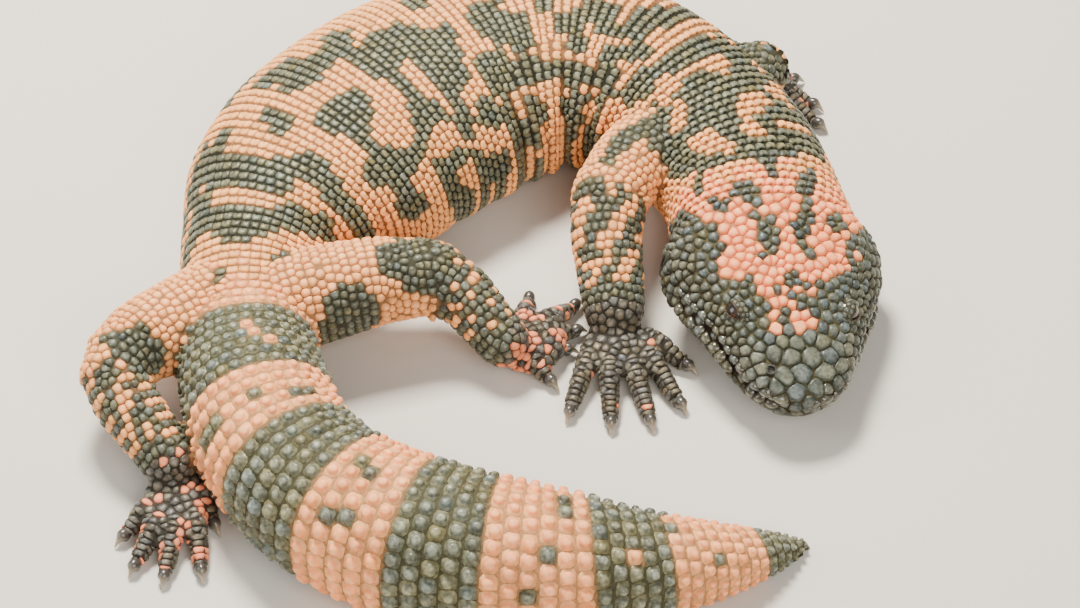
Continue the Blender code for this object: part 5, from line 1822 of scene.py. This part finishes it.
@dataclass
class Eyes:
    """The two dark eyes, each under a pair of lids.

    Slit and rim are half the width and height of the lids' inner and outer edges, on a dome. A row of
    lid_section is a share of the way from slit to rim and a lift; one of granule_rings is such a share, how
    many there are, and their size.
    """

    body: Body
    workshop: Workshop
    behind: float = 23.0
    side: float = 13.6
    height: float = 18.4
    radius: float = 3.0
    aim: Triple = (-2.5, 8.0, 5.5)
    slit: Pair = (2.9, 1.25)
    rim: Pair = (4.1, 2.9)
    dome: float = 3.35
    dome_edge: float = 0.15
    dome_fall: float = 0.95
    slit_power: float = 0.3
    pupil_tint: Triple = (0.010, 0.008, 0.007)
    iris_tint: Triple = (0.045, 0.02, 0.010)
    iris_inside: Pair = (0.90, 0.93)
    iris_outside: Pair = (0.72, 0.80)
    lid_section: tuple = (
        (0.04, -1.3), (0.0, -0.3), (0.02, 0.0), (0.10, 0.10), (0.22, 0.02), (0.34, 0.14), (0.46, 0.0),
        (0.58, 0.14), (0.70, 0.0), (0.82, 0.12), (0.92, -0.05), (1.0, -0.5), (0.9, -1.8), (0.5, -2.2),
    )
    lid_steps: int = 56
    lid_tint: Triple = (0.050, 0.036, 0.020)
    granule_rings: tuple = ((0.50, 16, 0.95), (0.88, 17, 1.25))
    seed: int = 61

    def place(self, sign: int) -> tuple[Points, Points]:
        """Middle of an eye and the way it looks."""
        spot = np.array([self.behind, self.side, self.height])
        middle, target = (
            self.body.head_place(*(place * (1, sign, 1))[:, None]) for place in (spot, spot + self.aim))
        return middle[0], unit(target - middle)[0]

    def build(self) -> None:
        """Makes both eyes and both pairs of lids."""
        for name, sign in (("right", 1), ("left", -1)):
            middle, outward = self.place(sign)
            mesh = mesh_of(ball_at(middle, self.radius, 48, 32), f"{name}_eyeball")
            facing = unit(np.array([vert.co for vert in mesh.vertices]) - in_metres(middle)) @ outward
            iris = (ease(facing, *self.iris_outside) * (1 - ease(facing, *self.iris_inside)))[:, None]
            paint(mesh, np.array(self.pupil_tint) * (1 - iris) + np.array(self.iris_tint) * iris)
            piece = finished_object(mesh.name, mesh, self.workshop, WET_EYE)
            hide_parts(f"{name}_eye")
            finished_object(f"{name}_lids", self.lids(middle, outward), self.workshop, LID_SKIN)
            granules = self.granules(middle, outward)
            outline = bead_outlines(granules, HEAD_BEAD)
            rng = np.random.default_rng(self.seed)
            mesh = bead_mesh(f"{name}_lid_beads", granules, outline, HEAD_BEAD, rng)
            finished_object(mesh.name, mesh, self.workshop, DARK_BEADS)

    def clearings(self) -> list[tuple[Points, float]]:
        """Where the head's plates leave room for the eyes."""
        places = [self.place(sign) for sign in (1, -1)]
        return [(middle + outward * self.radius, self.rim[1]) for middle, outward in places]

    def lid_place(self, middle: Points, outward: Points, turn: float, share: float, lift: float) -> Points:
        """A place on the lids, a share of the way from the slit to their outer rim."""
        side, up = across_axes(outward)
        across, above = math.cos(turn), math.sin(turn)
        narrow = (self.slit[0] * across, self.slit[1] * above * abs(above) ** self.slit_power)
        wide = (self.rim[0] * across, self.rim[1] * above)
        x, y = (near + (far - near) * share for near, far in zip(narrow, wide))
        reach = math.hypot(x, y)
        held = min(reach, self.dome - self.dome_edge)
        out = math.sqrt(self.dome**2 - held**2) - max(reach - held, 0.0) * self.dome_fall + lift
        return middle + side * x + up * y + outward * out

    def lids(self, middle: Points, outward: Points) -> Mesh:
        """The lids round one eye: a wrinkled ring with a narrow opening."""
        rows = len(self.lid_section)
        build = bmesh.new()
        bmesh.ops.create_grid(build, x_segments=self.lid_steps, y_segments=rows, size=0.5)
        for vert in build.verts:
            turn = (vert.co.x + 0.5) * 2 * math.pi
            share, lift = self.lid_section[round((vert.co.y + 0.5) * rows) % rows]
            vert.co = in_metres(self.lid_place(middle, outward, turn, share, lift))
        bmesh.ops.remove_doubles(build, verts=build.verts, dist=WELD)
        bmesh.ops.recalc_face_normals(build, faces=build.faces)
        mesh = mesh_of(build, "lids")
        paint(mesh, np.tile(self.lid_tint, (len(mesh.vertices), 1)))
        return mesh

    def granules(self, middle: Points, outward: Points) -> BeadSet:
        """The small beads in rings on the lids of one eye."""
        places, unwrap, sizes = [], [], []
        for share, count, size in self.granule_rings:
            for number in range(count):
                turn = 2 * math.pi * (number + share) / count
                places.append(self.lid_place(middle, outward, turn, share, -0.05))
                unwrap.append((0.02 + 0.94 * number / count, 0.1 + 0.8 * share))
                sizes.append(size)
        places, sizes = np.array(places), np.array(sizes)
        normals = unit(places - middle)
        forwards = outward - normals * (normals @ outward)[:, None]
        whole = np.ones(len(places), int)
        return BeadSet(
            places, normals, unit(forwards), sizes, sizes * 0.3, 1.0 * whole, 0.1 * whole,
            whole * Tone.DARK.value, whole * Zone.HEAD.value, whole * Part.HEAD.value, np.array(unwrap))


@dataclass(frozen=True)
class Cup:
    """A nostril or ear opening: a hollow painted as shade, in a raised rim, on the head's surface.

    The radii are the hollow's, level and upright; the room is how far off the middles of plates stay.
    """

    name: str
    behind: float
    angle: float
    radii: Pair
    room: float


@dataclass
class Openings:
    """The nostrils and the ear openings.

    A row of the section is a share of the cup's radii and a lift, from the hollow's middle over the rim.
    """

    body: Body
    workshop: Workshop
    cups: tuple[Cup, ...] = (
        Cup("right_nostril", 7.0, 52.0, (0.95, 0.75), 2.45),
        Cup("left_nostril", 7.0, 128.0, (0.95, 0.75), 2.45),
        Cup("right_ear", 44.5, 4.0, (0.8, 1.9), 2.8),
        Cup("left_ear", 44.5, 176.0, (0.8, 1.9), 2.8),
    )
    section: tuple = (
        (0.0, -0.32), (0.45, -0.32), (0.85, -0.26), (1.02, -0.10), (1.14, 0.06), (1.34, 0.14), (1.60, 0.06),
        (1.85, -0.15), (1.95, -0.7), (1.3, -1.9), (0.0, -2.0),
    )
    # How far the hollow's painted shade reaches, its colour, and the rim's own colour
    hollow_share: float = 1.08
    hollow_shade_tint: Triple = (0.010, 0.005, 0.004)
    rim_tint: Triple = (0.042, 0.043, 0.033)

    def place(self, cup: Cup) -> tuple[Points, Points]:
        """Where an opening is, and the way it faces."""
        station, angle = np.array([self.body.length - cup.behind]), np.array([cup.angle])
        normals, _ = self.body.frames(station, angle)
        return self.body.points(station, angle, np.zeros(1))[0], normals[0]

    def clearings(self) -> list[tuple[Points, float]]:
        """Where the head's plates leave room for the openings."""
        return [(self.place(cup)[0], cup.room) for cup in self.cups]

    def build(self) -> None:
        """Makes all the openings."""
        for cup in self.cups:
            middle, outward = self.place(cup)
            side, up = across_axes(outward)
            build = bmesh.new()
            bmesh.ops.create_uvsphere(build, u_segments=28, v_segments=len(self.section) - 1, radius=1.0)
            dark = []
            for vert in build.verts:
                polar = math.acos(max(-1.0, min(1.0, vert.co.z))) / math.pi
                reach, lift = self.section[round(polar * (len(self.section) - 1))]
                turn = math.atan2(vert.co.y, vert.co.x)
                flat = side * math.cos(turn) * cup.radii[0] + up * math.sin(turn) * cup.radii[1]
                vert.co = in_metres(middle + flat * reach + outward * lift)
                dark.append(reach < self.hollow_share)
            bmesh.ops.recalc_face_normals(build, faces=build.faces)
            mesh = mesh_of(build, cup.name)
            # The hollow is painted near black as shade; the rim keeps its own colour
            paint(mesh, np.where(np.array(dark)[:, None], self.hollow_shade_tint, self.rim_tint))
            finished_object(cup.name, mesh, self.workshop, LID_SKIN)


@dataclass(frozen=True)
class Lamp:
    """A soft square light that looks at the model's middle; its place and size are in metres."""

    name: str
    place: Triple
    size: float
    power: float
    colour: Triple = (1.0, 1.0, 1.0)


@dataclass
class Studio:
    """A pale floor, soft lights and the camera at the photograph's angle; places are in metres."""

    camera_place: Triple = (0.0131, -0.6191, 0.6474)
    camera_target: Triple = (0.0131, 0.0061, 0.0)
    lens: float = 120.0
    sensor: float = 36.0
    floor_size: float = 6.0
    floor_colour: tuple[float, float, float, float] = (0.66, 0.62, 0.55, 1.0)
    floor_roughness: float = 0.9
    sky_colour: tuple[float, float, float, float] = (0.95, 0.97, 1.0, 1.0)
    sky_strength: float = 0.34
    lamp_target: Triple = (0.0, 0.0, 0.02)
    lamps: tuple[Lamp, ...] = (
        Lamp("key", (-0.12, 0.34, 0.72), 0.22, 18.5, (1.0, 0.94, 0.85)),
        Lamp("fill", (0.25, -0.70, 0.60), 0.6, 7.5, (1.0, 0.96, 0.90)),
        Lamp("side", (-0.7, -0.1, 0.45), 0.5, 3.0, (0.95, 0.98, 1.0)),
    )

    def build(self) -> None:
        """Sets the floor, the lights, the world and the camera."""
        floor = bmesh.new()
        bmesh.ops.create_grid(floor, x_segments=1, y_segments=1, size=self.floor_size / 2)
        stage = linked("floor", mesh_of(floor, "floor"))
        material = bpy.data.materials.new("pale_floor")
        material.use_nodes = True
        shader = material.node_tree.nodes["Principled BSDF"]
        shader.inputs["Base Color"].default_value = self.floor_colour
        shader.inputs["Roughness"].default_value = self.floor_roughness
        stage.data.materials.append(material)
        for lamp in self.lamps:
            self.light(lamp)
        world = bpy.data.worlds.new("studio")
        world.use_nodes = True
        sky = world.node_tree.nodes["Background"]
        sky.inputs["Color"].default_value = self.sky_colour
        sky.inputs["Strength"].default_value = self.sky_strength
        bpy.context.scene.world = world
        data = bpy.data.cameras.new("camera")
        data.lens = self.lens
        data.sensor_width = self.sensor
        data.clip_start = 0.01
        camera = linked("camera", data)
        self.aim(camera, self.camera_place, self.camera_target)
        bpy.context.scene.camera = camera

    def light(self, lamp: Lamp) -> None:
        """Adds one soft light."""
        data = bpy.data.lights.new(lamp.name, "AREA")
        data.size = lamp.size
        data.energy = lamp.power
        data.color = lamp.colour
        self.aim(linked(lamp.name, data), lamp.place, self.lamp_target)

    @staticmethod
    def aim(thing: Object, place: tuple, target: tuple) -> None:
        """Puts a camera or a light at a place, looking at a target."""
        thing.location = place
        thing.rotation_euler = (Vector(target) - Vector(place)).to_track_quat("-Z", "Y").to_euler()


def make_limbs(body: Body) -> list[Limb]:
    """The two legs and the two arms."""
    return [
        Limb("right_leg", (186.0, 6.0, 17.0), ((42.0, 15.0, -4.0), (24.5, -43.5, 26.0)),
             (13.0, 11.4, 9.4, 7.4, 6.6), ("right_thigh", "right_shin", "right_foot"), (7.5, 25.0),
             ((81, 12.7, -0.5, -5.3), (47, 14.0, 2.5, -4.0), (24, 9.0, 3.0, -1.8), (3, 5.4, 2.4, 0.8),
              (-48, 8.6, -2.6, 1.8)), body, 11, 0.35),
        Limb("left_leg", (186.0, -6.0, 17.0), ((35.8, 216.5, -5.0), (30.8, -50.0, 20.0)),
             (12.5, 10.8, 8.8, 7.6, 6.8), ("left_thigh", "left_shin", "left_foot"), (8.0, -76.0),
             ((-132, 8.6, 0.6, 6.0), (-114, 14.4, 3.5, 3.6), (-98, 16.2, 4.4, 0.4), (-81, 17.0, 2.8, -3.4),
              (-62, 8.0, -1.2, -5.2)), body, 23, 0.45),
        Limb("right_arm", (352.0, 6.0, 18.0), ((34.5, 235.5, -6.0), (31.0, -84.0, 24.0)),
             (11.0, 10.4, 9.6, 8.6, 7.6), ("right_upper_arm", "right_forearm", "right_hand"), (8.5, -86.0),
             ((-35, 11.9, -2.5, -7.0), (-60, 18.5, 0.5, -5.6), (-75, 20.4, 2.0, -2.2), (-89, 20.0, 2.0, 2.2),
              (-107, 19.6, -0.5, 5.6)), body, 37, 1.45, 0.0),
        Limb("left_arm", (348.0, -8.0, 18.0), ((16.2, 27.0, -5.0), (12.8, 96.0, 41.0)),
             (10.5, 9.2, 8.0, 7.4, 6.6), ("left_upper_arm", "left_forearm", "left_hand"), (2.0, -10.0),
             ((-70, 6.1, 0.0, 5.4), (-54, 12.0, 1.3, 4.2), (-36, 14.3, 2.3, 1.8), (-22, 10.6, 2.4, -1.2),
              (16, 6.4, 0.9, -4.2)), body, 41, 1.0),
    ]


# The solids of tail, trunk, neck and head
FLESH = (
    "tail_tip", "tail_end", "tail_middle", "tail_base", "hips", "loin", "belly", "chest", "shoulders", "neck",
    "head",
)


def main() -> None:
    """Builds the animal and the studio in order."""
    logging.basicConfig(level=logging.INFO, format="%(message)s")
    workshop = Workshop()
    body = Body()
    limbs = make_limbs(body)
    markings = Markings(body)
    Studio().build()
    skin = Skin(body, limbs, workshop)
    skin.shape()
    eyes, openings = Eyes(body, workshop), Openings(body, workshop)
    coat = BeadCoat(body, limbs, markings, workshop, skin, eyes.clearings() + openings.clearings())
    beads = coat.gathered()
    piece = skin.build(beads, [spot for spot, _ in coat.clearings])
    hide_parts(*FLESH, *(node for limb in limbs for node in limb.nodes))
    coat.build(beads)
    eyes.build()
    openings.build()
    Claws(limbs, workshop).build()


if __name__ == "__main__":
    main()
